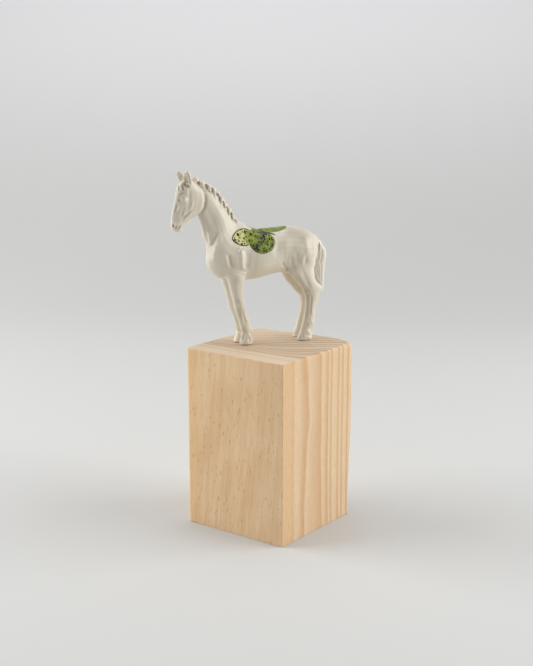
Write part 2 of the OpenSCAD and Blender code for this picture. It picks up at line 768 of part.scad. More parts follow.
// BLOCK
module horse_place() {
  translate([0, horse_back, block_h]) children();
}
module wood_block() {
  a = block_left_l/2;
  b = block_right_l/2;
  e = edge_chamfer;
  color("burlywood") difference() {
    rotate([0, 0, block_turn]) difference() {
      linear_extrude(block_h)
        polygon([
          [-b + e, -a], [b - e, -a], [b, -a + e], [b, a],
          [-b + e, a], [-b, a - e], [-b, -a + e]
        ]);
      translate([b - worn_edge_r, a - worn_edge_r, -cut]) difference() {
        cube([worn_edge_r + cut, worn_edge_r + cut, block_h + 2*cut]);
        cylinder(r = worn_edge_r, h = block_h + 2*cut, $fn = 32);
      }
    }
    horse_place()
      for (hind = [false, true])
        for (side = [-1, 1])
          at_pin(hind, side)
            translate([0, 0, -pin_down - pin_gap])
              cylinder(d = pin_d + 2*pin_gap, h = pin_down + pin_gap + cut, $fn = 24);
  }
}

wood_block();
horse_place() horse_body();
horse_place() head();
horse_place() ear(-1, left_ear_tilt, left_ear_turn);  // left_ear
horse_place() ear(1, right_ear_tilt, right_ear_turn);  // right_ear
horse_place() forelock();
horse_place() mane();
horse_place() tail();
horse_place() leg(false, -1);  // front_left_leg
horse_place() leg(false, 1);  // front_right_leg
horse_place() leg(true, -1);  // hind_left_leg
horse_place() leg(true, 1);  // hind_right_leg
horse_place() wings_left();  // butterfly_left_wings
horse_place() wings_right();  // butterfly_right_wings
horse_place() butterfly_body();
horse_place() pin(false, -1);  // front_left_pin
horse_place() pin(false, 1);  // front_right_pin
horse_place() pin(true, -1);  // hind_left_pin
horse_place() pin(true, 1);  // hind_right_pin
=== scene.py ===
"""Looks of the horse figurine on its wood block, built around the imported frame.

Lengths are millimetres in the horse's own frame: -X the way it faces, -Y its left side, +Z up from
the hooves. to_row() turns them into the row's metres. Strokes and pulls are drawn in the picture
coordinates of the scene's camera, which seen() works out.
"""
import json
import math
import bmesh
import bpy
import numpy as np
from mathutils import Matrix, Vector

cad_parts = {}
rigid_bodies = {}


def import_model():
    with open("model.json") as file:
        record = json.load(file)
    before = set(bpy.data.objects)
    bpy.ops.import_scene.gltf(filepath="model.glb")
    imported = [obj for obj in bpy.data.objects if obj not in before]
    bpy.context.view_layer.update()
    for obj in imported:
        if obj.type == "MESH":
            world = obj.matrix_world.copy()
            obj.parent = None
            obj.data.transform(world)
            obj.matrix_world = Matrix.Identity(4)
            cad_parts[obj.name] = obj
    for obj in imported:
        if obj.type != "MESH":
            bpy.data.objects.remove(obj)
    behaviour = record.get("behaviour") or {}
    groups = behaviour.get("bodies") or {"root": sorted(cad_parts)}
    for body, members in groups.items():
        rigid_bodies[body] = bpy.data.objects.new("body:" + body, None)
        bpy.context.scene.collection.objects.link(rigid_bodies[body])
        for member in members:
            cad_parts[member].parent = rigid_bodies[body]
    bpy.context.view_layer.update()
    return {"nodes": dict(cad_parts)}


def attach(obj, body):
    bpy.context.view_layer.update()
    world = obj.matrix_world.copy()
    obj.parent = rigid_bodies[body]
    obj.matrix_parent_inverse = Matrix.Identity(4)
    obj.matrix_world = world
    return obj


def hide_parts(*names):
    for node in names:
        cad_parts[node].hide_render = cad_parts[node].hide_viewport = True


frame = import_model()
nodes = frame["nodes"]

MM = 0.001
BLOCK_W = 70.0
BLOCK_H = 110.0
BLOCK_ACROSS = np.array([0.5373, -0.8434, 0.0])
BLOCK_DEEP = np.array([-0.8434, -0.5373, 0.0])
HORSE_BACK = 11.0
ORIGIN = np.array([0.0, HORSE_BACK, BLOCK_H])
LEG_JOINT_Z = 38.0
LEGS_PARTED_X = 5.0
HEAD_TURN = math.radians(6.0)
FACE_PITCH = math.radians(16.5)
POLL = np.array([-41.125, 0.0, 98.32])
NECK_JOINT = np.array([-36.0625, 0.0, 84.355])
NECK_NORMAL = Vector((-0.8826, 0, 0.4701))
HEAD_STARTS_X = -40.5
UP = Vector((0, 0, 1))
HORSE_NODES = ["horse_body", "head", "front_left_leg", "front_right_leg", "hind_left_leg", "hind_right_leg"]


def to_horse(points):
    return np.asarray(points)/MM - ORIGIN


def to_row(points):
    return (np.asarray(points) + ORIGIN)*MM


# Soft steps
def smooth_step(x, low, high):
    """0 below low and 1 above high, with a soft rise between."""
    t = np.clip((x - low)/(high - low), 0, 1)
    return t*t*(3 - 2*t)


def bell(x, centre, width):
    """1 at the centre, falling off on both sides of it."""
    return np.exp(-((x - centre)/width)**2)


def rising(x, start, run):
    """0 before start and 1 after a straight run, which is negative where it goes backwards."""
    return np.clip((x - start)/run, 0, 1)


# Mesh tools
def linked(name, data):
    ob = bpy.data.objects.new(name, data)
    bpy.context.scene.collection.objects.link(ob)
    return ob


def remeshed(names, voxel):
    """Voxel remesh of some nodes as one closed mesh, its largest shell only."""
    bm = bmesh.new()
    for name in names:
        bm.from_mesh(nodes[name].data)
    bmesh.ops.remove_doubles(bm, verts=bm.verts, dist=1e-6)
    mesh = bpy.data.meshes.new("soup")
    bm.to_mesh(mesh)
    bm.free()
    ob = linked("remesh", mesh)
    mod = ob.modifiers.new("voxels", "REMESH")
    mod.mode = "VOXEL"
    mod.voxel_size = voxel*MM
    mod.adaptivity = 0.0
    deps = bpy.context.evaluated_depsgraph_get()
    out = bpy.data.meshes.new_from_object(ob.evaluated_get(deps))
    bpy.data.objects.remove(ob)
    co = np.empty(len(out.vertices)*3)
    out.vertices.foreach_get("co", co)
    quads = np.empty(len(out.polygons)*4, dtype=np.int64)
    out.polygons.foreach_get("vertices", quads)
    return largest_shell(to_horse(co.reshape(-1, 3)), quads.reshape(-1, 4))


def compact(count, faces):
    """Which of the points the faces use, and the faces with the numbers those points then have."""
    used = np.unique(faces)
    index = np.full(count, -1)
    index[used] = np.arange(len(used))
    return used, index[faces]


def largest_shell(co, quads):
    """The connected part with the most faces."""
    label = np.arange(len(co))
    while True:
        low = label[quads].min(axis=1)
        new = label.copy()
        for k in range(4):
            np.minimum.at(new, quads[:, k], low)
        new = new[new]
        if (new == label).all():
            break
        label = new
    face = label[quads[:, 0]]
    used, quads = compact(len(co), quads[face == np.bincount(face).argmax()])
    return co[used], quads


def edges_of(quads, count):
    """The edges of a mesh, and how many of them meet at each vertex."""
    e = np.concatenate([quads[:, [k, (k + 1) % 4]] for k in range(4)])
    e.sort(axis=1)
    e = np.unique(e, axis=0)
    return e, np.bincount(e.ravel(), minlength=count).astype(float)


def neighbour_mean(co, e, degree):
    out = np.empty_like(co)
    for k in range(co.shape[1]):
        s = np.bincount(e[:, 0], co[e[:, 1], k], len(co))
        s += np.bincount(e[:, 1], co[e[:, 0], k], len(co))
        out[:, k] = s/degree
    return out


def relaxed(co, quads, rounds, weight=1.0, keep_volume=True):
    """Smooths a mesh. With keep_volume each inward step is followed by an outward one."""
    e, degree = edges_of(quads, len(co))
    w = np.broadcast_to(np.asarray(weight, dtype=float), (len(co),))[:, None]
    for _ in range(rounds):
        co = co + 0.5*w*(neighbour_mean(co, e, degree) - co)
        if keep_volume:
            co = co - 0.53*w*(neighbour_mean(co, e, degree) - co)
    return co


def normals(co, quads):
    a = co[quads[:, 2]] - co[quads[:, 0]]
    b = co[quads[:, 3]] - co[quads[:, 1]]
    f = np.cross(a, b)
    out = np.zeros_like(co)
    for k in range(4):
        for axis in range(3):
            out[:, axis] += np.bincount(quads[:, k], f[:, axis], len(co))
    return out/np.maximum(np.linalg.norm(out, axis=1, keepdims=True), 1e-12)


def cavity(co, quads, rounds=9, blur=5):
    """How deep each vertex lies in a crease: positive in a hollow, negative on an edge."""
    n = normals(co, quads)
    e, degree = edges_of(quads, len(co))
    mean = co
    for _ in range(rounds):
        mean = neighbour_mean(mean, e, degree)
    depth = ((mean - co)*n).sum(axis=1)[:, None]
    for _ in range(blur):
        depth = neighbour_mean(depth, e, degree)
    return depth[:, 0]


def make_object(name, co, faces, attributes=None):
    mesh = bpy.data.meshes.new(name)
    mesh.from_pydata(to_row(co).tolist(), [], [list(map(int, f)) for f in faces])
    mesh.update()
    for key, values in (attributes or {}).items():
        a = mesh.attributes.new(key, "FLOAT", "POINT")
        a.data.foreach_set("value", np.ascontiguousarray(values, dtype=np.float32))
    mesh.polygons.foreach_set("use_smooth", np.ones(len(mesh.polygons), dtype=bool))
    return linked(name, mesh)


def dress(piece, node, mat):
    """Puts a piece in a node's place, with its material."""
    piece.data.materials.append(mat)
    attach(piece, "root")
    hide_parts(node)


# Drawing in the view: right, up and toward the eye, the eye's place, the picture's middle and scale
TURN, RISE = math.radians(-20.546), math.radians(12.5005)
VIEW_RIGHT = np.array([math.cos(TURN), math.sin(TURN), 0.0])
VIEW_BACK = np.array([math.sin(TURN)*math.cos(RISE), -math.cos(TURN)*math.cos(RISE), math.sin(RISE)])
VIEW_UP = np.cross(VIEW_BACK, VIEW_RIGHT)
EYE = np.array([0.0, 0.0, 117.6]) - 2.2676*VIEW_RIGHT + 728.3*VIEW_BACK
PICTURE_MIDDLE = (266.5, 333.0)
PICTURE_SCALE = 1208.8


def seen(points):
    """Picture coordinates of points of the horse, right and down from the picture's corner."""
    d = np.asarray(points) + ORIGIN - EYE
    far = -(d @ VIEW_BACK)
    return np.stack([PICTURE_MIDDLE[0] + PICTURE_SCALE*(d @ VIEW_RIGHT)/far,
                     PICTURE_MIDDLE[1] - PICTURE_SCALE*(d @ VIEW_UP)/far], axis=1)


def path_distance(p, path):
    """Distance of 2-D points to a polyline, and how far along it the nearest place is, 0 to 1."""
    path = np.asarray(path, dtype=float)
    best = np.full(len(p), 1e9)
    along = np.zeros(len(p))
    lengths = np.linalg.norm(np.diff(path, axis=0), axis=1)
    start = np.concatenate([[0], np.cumsum(lengths)])
    for i, length in enumerate(lengths):
        a, d = path[i], path[i + 1] - path[i]
        t = np.clip(((p - a) @ d)/(length*length), 0, 1)
        r = np.linalg.norm(p - a - t[:, None]*d, axis=1)
        closer = r < best
        best[closer] = r[closer]
        along[closer] = (start[i] + t[closer]*length)/start[-1]
    return best, along


def turned(points, angle):
    """Points turned about the poll's upright axis."""
    c, s = math.cos(angle), math.sin(angle)
    p = points - POLL
    return np.stack([p[:, 0]*c - p[:, 1]*s, p[:, 0]*s + p[:, 1]*c, p[:, 2]], axis=1) + POLL


def near_view(co, n, is_head=None, mirror=True):
    """Every point as seen on the near side, so that both sides get the same relief."""
    q, m = co.copy(), n.copy()
    sign = np.where((q[:, 1] > 0) & mirror, -1.0, 1.0)
    q[:, 1] *= sign
    m[:, 1] *= sign
    if is_head is not None:
        local = turned(co, -HEAD_TURN)
        tip = turned(n + POLL, -HEAD_TURN) - POLL
        sign = np.where(local[:, 1] > 0, -1.0, 1.0)
        local[:, 1] *= sign
        tip[:, 1] *= sign
        q[is_head] = turned(local, HEAD_TURN)[is_head]
        m[is_head] = (turned(tip + POLL, HEAD_TURN) - POLL)[is_head]
    return seen(q), smooth_step(m @ VIEW_BACK, 0.02, 0.42)


def relief(uv, face, strokes, inside=None):
    """Sum of ridges and cuts drawn in the view."""
    lift = np.zeros(len(uv))
    for path, radius, height, *taper in strokes:
        path = np.asarray(path, dtype=float)
        ends = taper[0] if taper else USUAL_TAPER
        reach = 3*radius
        box = ((uv > path.min(axis=0) - reach) & (uv < path.max(axis=0) + reach)).all(axis=1)
        if inside is not None:
            box &= inside
        d, t = path_distance(uv[box], path)
        s = bell(d, 0, radius)*height
        if ends:
            s *= smooth_step(np.minimum(t, 1 - t), 0, ends)
        lift[box] += s
    return lift*face


def painted_shade(uv, face, strokes, inside=None):
    """Where painted shade lies, 0 to 1, drawn like relief but never adding up past its strokes."""
    shade = np.zeros(len(uv))
    for stroke in strokes:
        shade = np.maximum(shade, relief(uv, face, [stroke], inside))
    return np.clip(shade, 0, 1)


# Strokes of the carving: a path in the view, radius, height in millimetres, and the taper of the ends
# as a share of the path where it isn't the usual one
USUAL_TAPER = 0.3
NECK_STROKES = [
    ([(203.8, 222), (205.4, 232), (207.4, 241), (208.6, 247)], 1.3, -0.35),
    ([(208.8, 230), (209.8, 240), (210.6, 246.5)], 1.3, 0.35),
    ([(216.2, 230), (215.6, 238), (213.2, 243.5), (209.8, 248.4)], 1.7, -0.6),
    ([(221.5, 231), (219.8, 239), (217.8, 244.5), (215.2, 250)], 2.1, 0.45),
    ([(208, 194), (216, 205), (222.5, 218), (228, 229)], 3.4, 0.4),
    ([(204.5, 204), (209, 213), (214, 224), (219, 232)], 3.8, -0.45),
    # where the plaits run out on to the crest
    ([(210.4, 190), (211.2, 194.4)], 0.9, 0.4),
    ([(215.2, 195.4), (215.8, 200)], 0.9, 0.4),
    ([(221.1, 203.6), (221.2, 209)], 0.9, 0.4),
    ([(225.1, 207.6), (225.4, 212.6)], 0.9, 0.4),
    ([(229.2, 214.4), (230, 219.6)], 0.9, 0.4),
]
SHOULDER_STROKES = [
    ([(216.4, 246), (214.8, 254), (214.6, 263)], 2.8, 0.75),
    ([(220.4, 248), (220.2, 257), (219.6, 266)], 2.8, -0.45),
    ([(225.2, 253), (227.3, 263.4), (229.4, 270)], 1.2, 0.4),
    ([(227.8, 253.5), (230.6, 262), (232.2, 269)], 1.5, -0.7),
    ([(236, 255), (236.5, 263), (236.5, 270)], 4, 0.5),
    ([(241.6, 248.5), (242.2, 256), (242.4, 264), (243, 271)], 2.3, 1, 0.2),
    ([(246.8, 249.5), (247.3, 257), (247.3, 265), (246.8, 272)], 2.6, -0.65, 0.25),
    ([(243.6, 272.6), (244.6, 274.8)], 1.5, 0.6),
    ([(227.4, 275), (232, 273.1), (239.3, 273.3), (242.6, 273.7)], 1.2, -0.35),
    ([(241.8, 246.3), (238.8, 250), (236, 253.4)], 0.9, 0.4),
    ([(242.2, 248.4), (238.6, 252.9)], 0.7, -0.45),
    ([(243.4, 248.6), (242.6, 253)], 0.6, -0.35),
    ([(239.6, 247.5), (236.6, 250.5)], 0.6, -0.25),
]
HAUNCH_STROKES = [
    ([(281.5, 261), (285, 267), (289.4, 272.4)], 1.5, -0.5),
    ([(278.5, 232), (277.6, 243), (277.4, 252), (279, 264)], 4, -0.55, 0.5),
    ([(287.5, 229), (286.8, 240), (286.8, 252), (289, 266)], 4.2, 0.45, 0.5),
    ([(300, 229), (306, 240), (308.2, 252.4), (307.2, 266)], 2.6, 0.4, 0.45),
    ([(304.6, 252.5), (303.2, 259), (301.6, 266)], 1.4, 0.4, 0.35),
    ([(306.8, 255.5), (305.3, 266)], 1.6, -0.45, 0.35),
    ([(296.6, 249.5), (297, 257), (297.7, 266)], 1.9, -0.35, 0.35),
    ([(291, 255), (292, 264), (295, 272)], 1.8, -0.35),
    ([(313, 236), (315.2, 248), (315, 262)], 2.6, 0.25, 0.45),
]
LEG_STROKES = [
    # fore legs: front edge, tendons, knee and pastern
    ([(233.5, 278), (235.6, 290), (238.4, 303)], 2.2, 0.35),
    ([(239, 279), (240.3, 291), (241.4, 302)], 1.6, -0.3),
    ([(237.4, 306), (240.2, 305)], 1.6, 0.3, 0.4),
    ([(242.6, 309), (244, 317), (246.2, 325.5)], 0.9, -0.45, 0.25),
    ([(242.6, 328.5), (245.6, 330.5)], 1.6, -0.45),
    # hind legs: gaskin, hock, tendons and pastern
    ([(301.5, 268), (307, 280), (311, 290)], 1.8, -0.4),
    ([(298, 272), (303, 282), (307.5, 292)], 2.2, 0.4),
    ([(311.5, 293), (311, 305), (309.6, 318)], 1, -0.55, 0.25),
    ([(306, 291.5), (309.5, 294.5)], 1.6, 0.35, 0.4),
    ([(305.6, 323.6), (308.6, 325.4)], 1.3, -0.4),
    ([(311.6, 319), (312.4, 324)], 1.2, 0.3),
    ([(306.6, 328.6), (309.6, 333.4)], 0.9, 0.35),
]
HOOF_STROKES = [
    ([(242.8, 333.4), (241.4, 337), (239.6, 344.6)], 0.8, 0.5, 0.1),
    ([(247.8, 333), (250.6, 337.6), (252.6, 343.6)], 0.8, 0.5, 0.1),
    ([(244.6, 333), (243, 340.6)], 0.9, -0.45, 0.2),
    ([(249, 337.6), (249.6, 340.4)], 0.8, -0.4),
    ([(246.8, 340.6), (247, 343)], 1, 0.3),
    ([(301.8, 331.4), (298.6, 338.6)], 0.8, 0.4, 0.2),
    ([(304.4, 335.4), (310.6, 335.3)], 0.6, -0.45, 0.2),
    ([(307, 337.4), (311.6, 337.2)], 0.9, 0.4, 0.2),
    ([(302.6, 334), (303.4, 338.6)], 1, -0.3),
]
HEAD_STROKES = [
    # the cheek's rim and the groove behind it
    ([(201.4, 186.2), (205, 192.8)], 0.7, -0.6, 0.15),
    ([(203.6, 190.6), (205.3, 195.6), (205.7, 201), (204.3, 208.4), (200.4, 214.2)], 1.4, -0.75, 0.2),
    ([(199.2, 187.2), (202, 193.8), (202.6, 200.6), (201.2, 207), (198.2, 212.4)], 1.8, 0.5, 0.25),
    # cheek, facial crest, nasal bone and jaw
    ([(187.2, 186.6), (187.4, 191), (186.8, 195.6)], 0.8, 0.5),
    ([(189.4, 190), (189.8, 198), (189.4, 204), (187.4, 211)], 1.5, -0.28),
    ([(193.4, 200.5), (191.6, 207), (189, 212)], 1, 0.3),
    ([(177.8, 203.6), (176.6, 208), (174.6, 213)], 0.9, -0.4),
    ([(179.2, 204.8), (178.6, 207.4), (176.8, 211.4)], 0.9, 0.4),
    ([(184.4, 206), (182.4, 214), (180.6, 221)], 1.2, -0.35),
    ([(186.6, 205.4), (184.6, 212), (182.8, 217)], 0.7, 0.22),
    ([(191.6, 209.4), (188, 213.8), (184.1, 217.7), (181.6, 221.4)], 1.3, -0.4),
    ([(192.2, 212.4), (186, 218.2), (183, 222.4)], 1, 0.3),
    # brow, lids and eyeball
    ([(178.8, 197), (180, 194.4), (182.2, 193), (184.6, 193.6)], 0.9, -0.4, 0.25),
    ([(179, 198.4), (180.8, 196.6), (183, 196.6), (184.6, 198)], 0.55, 0.3, 0.2),
    ([(179.6, 201.6), (181.8, 201.6), (184.2, 199.6)], 0.55, 0.25, 0.2),
    ([(181, 199.2), (182.2, 198.9)], 1, 0.4, 0),
    ([(179, 199.8), (179.4, 201)], 0.5, -0.4, 0),
    # nostril, mouth and the fold of the upper lip
    ([(172.9, 225), (173.4, 226.8)], 0.8, -0.9, 0),
    ([(174.8, 223.6), (175.3, 226.2)], 0.6, 0.35, 0.2),
    ([(176.4, 225.8), (175.6, 229.6)], 0.55, -0.4, 0.2),
    ([(180.8, 225), (177.8, 230.2)], 0.6, -0.6, 0.15),
    ([(178.8, 225.2), (176.8, 229.8)], 0.5, 0.25),
]
# Painted shade: a path in the view, radius, strength, and taper like a stroke's
# painted shade at the corners of the eye, under the brow, in the nostril and in the mouth
FACE_PAINTED_SHADE = [
    ([(179, 199.4), (179.5, 201.3)], 0.55, 0.8, 0),
    ([(178.5, 198.6), (179.4, 195.6), (181.6, 193.2), (184.6, 193.6)], 0.7, 0.3, 0.2),
    ([(183.4, 197.2), (184.2, 198.4), (183.2, 200.2)], 0.55, 0.5, 0),
    ([(172.9, 225), (173.4, 226.8)], 0.65, 0.75, 0),
    ([(176.4, 225.8), (175.6, 229.6)], 0.5, 0.4, 0.2),
    ([(180.8, 225), (177.8, 230.2)], 0.55, 0.5, 0.15),
]
# painted shade in the slots of the forelock and the band below the ear
BROW_PAINTED_SHADE = [
    ([(183.4, 183.2), (186, 185), (188.9, 187.6)], 0.8, 0.75, 0.15),
    ([(178.6, 185.6), (178.5, 190.4)], 0.5, 0.5, 0.15),
    ([(181.4, 185.2), (183.9, 190.6)], 0.6, 0.6, 0.15),
]
HEAD_TOP = [
    ([(183.4, 183.2), (186, 185.2), (189, 187.8)], 0.9, -0.6, 0.15),
    ([(178.6, 185.6), (178.5, 190.4)], 0.6, -0.4, 0.15),
    ([(180.2, 184.4), (180.4, 191)], 0.7, 0.45, 0.2),
    ([(181.4, 185.2), (183.9, 190.6)], 0.6, -0.5, 0.15),
    ([(183.6, 186), (185.6, 191)], 0.7, 0.4, 0.2),
]
# painted shade on the top of the rump, the cores of the legs, the muzzle and the grooves of the face
SOFT_PAINTED_SHADE = [
    ([(282, 230), (298, 232.5), (310, 242)], 7, 0.36, 0.25),
    ([(235.4, 272), (236.4, 281), (239.6, 299), (243.6, 322)], 3.8, 0.28, 0.2),
    ([(301.5, 270), (307.6, 288), (306.6, 322)], 3.6, 0.28, 0.2),
    ([(176.5, 216), (180.5, 222)], 4, 0.12, 0.2),
    ([(177.5, 209), (177, 221)], 3, 0.08, 0.2),
    ([(177.6, 203.4), (175.7, 209), (174.3, 215)], 0.8, 0.26),
    ([(191.6, 209.8), (188, 214.1), (184.1, 218), (182.6, 220.6)], 0.8, 0.22),
    ([(205.2, 192.6), (206.5, 199), (205.5, 206), (203, 211)], 1.2, 0.22),
]
# painted shade in the creases over the hooves
LEG_PAINTED_SHADE = [
    ([(243.2, 331.4), (246.6, 330.4)], 1, 0.3, 0.2),
    ([(306.4, 324.2), (308.4, 325.4)], 1, 0.25, 0.2),
]
# Corrections of the outline: a path in the view, radius, millimetres right and down, side
PULLS = [
    ([(300, 226.5), (306, 228.5), (312, 232)], 5.0, (-0.75, 0.65), 0),
    ([(240, 222), (244, 223.6)], 2.6, (0.0, -0.8), 0),
    ([(284, 275), (289, 282), (294, 288.5)], 4.5, (-1.3, 1.0), 1),
    ([(322.3, 284), (322.3, 287)], 2.6, (0.4, 0.0), 0),
    ([(320.5, 293), (317.5, 300), (315.5, 309)], 3.0, (-0.6, 0.0), 0),
    ([(244.3, 285), (244.8, 296), (245.6, 304), (247.0, 312)], 3.5, (-0.85, 0.0), -1),
    ([(249.6, 321), (250.5, 326)], 3.0, (0.45, 0.0), -1),
    ([(230.5, 314), (232.2, 320), (233.5, 328), (234, 332)], 5.0, (0.75, 0.0), 1),
    ([(220.5, 280), (222, 284)], 3.0, (-0.5, 0.0), 1),
    ([(325.8, 250), (325.8, 262), (324.0, 272), (323.4, 281)], 3.2, (0.5, 0.0), 0),
    ([(320.5, 239), (323.8, 244)], 2.6, (-0.75, 0.35), 0),
    ([(205.6, 193), (206.6, 200), (205.2, 208)], 3.0, (-0.6, 0.0), -1),
    ([(288.5, 279), (292.5, 284), (296.5, 289.5)], 3.0, (-0.9, 0.5), 1),
    ([(299.3, 299), (298.6, 305), (298.2, 311)], 3.0, (0.45, 0.0), 1),
]
THIGH_PULLS = [
    ([(321.0, 246), (320.2, 253), (318.4, 259)], 3.3, (-1.5, 0.0), -1),
    ([(317.8, 263), (317.0, 270), (317.8, 276), (320.0, 281)], 2.8, (-0.8, 0.2), -1),
]
TAIL_PULL = ([(318.9, 254), (317.2, 262), (316.4, 270), (318.2, 277.5)], 2.2, (-1.1, 0.0), 0)
# The line of the nose in the view, how far it is pushed out at each height, and to what depth
NOSE_LINE = [(178.9, 184), (178.3, 188.3), (176.2, 197.6), (174.3, 206.9), (172.4, 216.2), (171.3, 223.2),
             (172, 229)]
NOSE_PUSH = [(0, 176), (0.4, 180), (0.6, 184), (0.85, 190), (0.8, 196), (0.85, 206), (0.72, 212), (0.6, 217),
             (0.28, 221), (0.08, 225), (0, 230)]
NOSE_DEPTH = 4.5
NOSE_ABOVE_Z, NOSE_AHEAD_X = 60, -38
# The skin's grain, and the rounds of smoothing over all, at the legs' roots, and at the lids and nostrils
HORSE_VOXEL = 0.3
SKIN_ROUNDS, ROOT_ROUNDS, LID_ROUNDS = 34, 90, 70
FIRM_HOOF, FIRM_HOOF_Z = 0.35, 8
FIRM_FACE, FIRM_FACE_X = 0.5, -44
# Where the legs run into the trunk without a step: height, reach, start along the horse, run and strength
LEG_ROOTS = [(43, 5.5, -8, -6, 1.0), (47, 6, 12, 6, 0.5)]
# The breast's corrections: height, reach up and down, and millimetres back
BREAST = [(56.2, 4.0, 0.9), (66.8, 3.2, -1.1)]
BREAST_AHEAD_X, BREAST_RUN, BREAST_BELOW_Z = -29, -6, 75
BREAST_FOOT = ((-30.5, 5.0), (42.5, 4.0), 0.8)
# Heights that part the strokes' regions
TRUNK_ABOVE_Z, LEGS_BELOW_Z, HOOVES_BELOW_Z, HEAD_ABOVE_Z, PASTERN_BELOW_Z = 36, 48, 10, 66, 12
# The coronet over the hoof: height, reach, and millimetres out
CORONET = [(5.8, 0.7, 0.12), (4.9, 0.5, -0.08)]
CORONET_BELOW_Z = 9
# The soles: how far they draw in, and the heights where that and the painted shadow beneath set in downward
SOLE_Z, SOLE_DRAWN_IN, SOLE_DARK = 1.2, 0.9, 0.9
SOLE_EDGE_Z, SOLE_DARK_Z = 0.85, 0.75
# The back of the thigh made paler with painted light: its path in the view, radius and strength
THIGH_PAINTED_LIGHT_PATH = [(313.5, 252), (312.8, 262), (312.6, 271)]
THIGH_PAINTED_LIGHT_RADIUS, THIGH_PAINTED_LIGHT = 2.8, 0.11


def on_face(down, forward, side):
    """A place of the head from the poll: down the face, forward of it and to the side."""
    c, s = math.cos(FACE_PITCH), math.sin(FACE_PITCH)
    return np.array([-down*s - forward*c, side, forward*s - down*c])


# Eye and nostril with the reach of the smoothing around them
EYE_AND_NOSTRIL = [(on_face(11.6, 6.7, 3.6), 2.3), (on_face(28.1, 7.6, 2.4), 1.3)]


def at_height(v, table):
    """A value read between the rows of a table of values and picture heights."""
    value, height = np.array(table).T
    return np.interp(v, height, value)


def pulled(co, pulls):
    """Moves the outline by the pulls, and then the nose and forehead out in front."""
    uv = seen(co)
    for path, radius, (right, down), hand in pulls:
        w = bell(path_distance(uv, path)[0], 0, radius)
        if hand:
            w *= rising(co[:, 1]*hand, -0.5, 2)
        co = co + (VIEW_RIGHT*right - VIEW_UP*down)*w[:, None]
    u, v = seen(co).T
    push = at_height(v, NOSE_PUSH)*smooth_step(at_height(v, NOSE_LINE) + NOSE_DEPTH - u, 0, NOSE_DEPTH)
    push *= (co[:, 2] > NOSE_ABOVE_Z)*(co[:, 0] < NOSE_AHEAD_X)
    return co - VIEW_RIGHT*push[:, None]


def horse_skin():
    """The castings as one smooth skin, with nothing left of the lids and nostrils."""
    co, quads = remeshed(HORSE_NODES, HORSE_VOXEL)
    firm = np.where(co[:, 2] < FIRM_HOOF_Z, FIRM_HOOF, 1.0)
    firm = np.where(co[:, 0] < FIRM_FACE_X, FIRM_FACE, firm)
    co = relaxed(co, quads, SKIN_ROUNDS, firm)
    roots = [share*bell(co[:, 2], height, reach)*rising(co[:, 0], start, run)
             for height, reach, start, run, share in LEG_ROOTS]
    co = relaxed(co, quads, ROOT_ROUNDS, np.maximum.reduce(roots), keep_volume=False)
    local = turned(co, -HEAD_TURN) - POLL
    local[:, 1] = np.abs(local[:, 1])
    for place, reach in EYE_AND_NOSTRIL:
        near = np.exp(-(np.linalg.norm(local - place, axis=1)/reach)**4)
        co = relaxed(co, quads, LID_ROUNDS, near, keep_volume=False)
    return co, quads


def reshaped(co):
    """The breast flatter above and fuller below, then the outline's other corrections."""
    z = co[:, 2]
    push = sum(back*bell(z, height, reach) for height, reach, back in BREAST)
    co[:, 0] += push*rising(co[:, 0], BREAST_AHEAD_X, BREAST_RUN)*(z < BREAST_BELOW_Z)
    (x_middle, x_reach), (z_middle, z_reach), drop = BREAST_FOOT
    co[:, 2] -= drop*bell(co[:, 0], x_middle, x_reach)*bell(z, z_middle, z_reach)
    return pulled(co, PULLS + THIGH_PULLS)


def carved(co, quads):
    """Relief of the whole horse, and the painted shade that lies in it."""
    n = normals(co, quads)
    z = co[:, 2].copy()
    head_part = turned(co, -HEAD_TURN)[:, 0] < HEAD_STARTS_X
    uv, face = near_view(co, n, head_part)
    direct, facing = near_view(co, n, None, False)
    lift = relief(uv, face, NECK_STROKES + SHOULDER_STROKES + HAUNCH_STROKES, z > TRUNK_ABOVE_Z)
    lift += relief(uv, face, LEG_STROKES, z < LEGS_BELOW_Z)
    lift += relief(uv, face, HOOF_STROKES, z < HOOVES_BELOW_Z)
    lift += relief(uv, face, HEAD_STROKES, z > HEAD_ABOVE_Z)
    lift += relief(direct, facing, HEAD_TOP, head_part)
    lift += sum(out*bell(z, height, reach) for height, reach, out in CORONET)*(z < CORONET_BELOW_Z)
    shade = np.maximum(painted_shade(uv, face, FACE_PAINTED_SHADE, head_part), painted_shade(direct, facing, BROW_PAINTED_SHADE, head_part))
    shade = np.maximum(shade, painted_shade(uv, face, LEG_PAINTED_SHADE, z < PASTERN_BELOW_Z))
    shade = np.maximum(shade, painted_shade(uv, face, SOFT_PAINTED_SHADE))
    return relaxed(co + n*lift[:, None], quads, 2, 0.5, keep_volume=False), shade


def shod(co, shade):
    """Stands the hooves on their soles, drawn in a little from the wall and with painted shadow beneath."""
    for front in (True, False):
        for hand in (-1, 1):
            hoof = (co[:, 2] < SOLE_Z) & ((co[:, 0] < LEGS_PARTED_X) == front) & (co[:, 1]*hand > 0)
            out = co[hoof, :2] - co[hoof, :2].mean(axis=0)
            reach = np.linalg.norm(out, axis=1)
            draw = np.minimum(SOLE_DRAWN_IN*rising(co[hoof, 2], SOLE_EDGE_Z, -0.5), reach)
            co[hoof, :2] -= out/np.maximum(reach, 1e-6)[:, None]*draw[:, None]
    co[:, 2] = np.maximum(co[:, 2], 0.0)
    # painted shadow under the soles, laid into the shade attribute
    return co, np.maximum(shade, SOLE_DARK*rising(co[:, 2], SOLE_DARK_Z, -0.3))


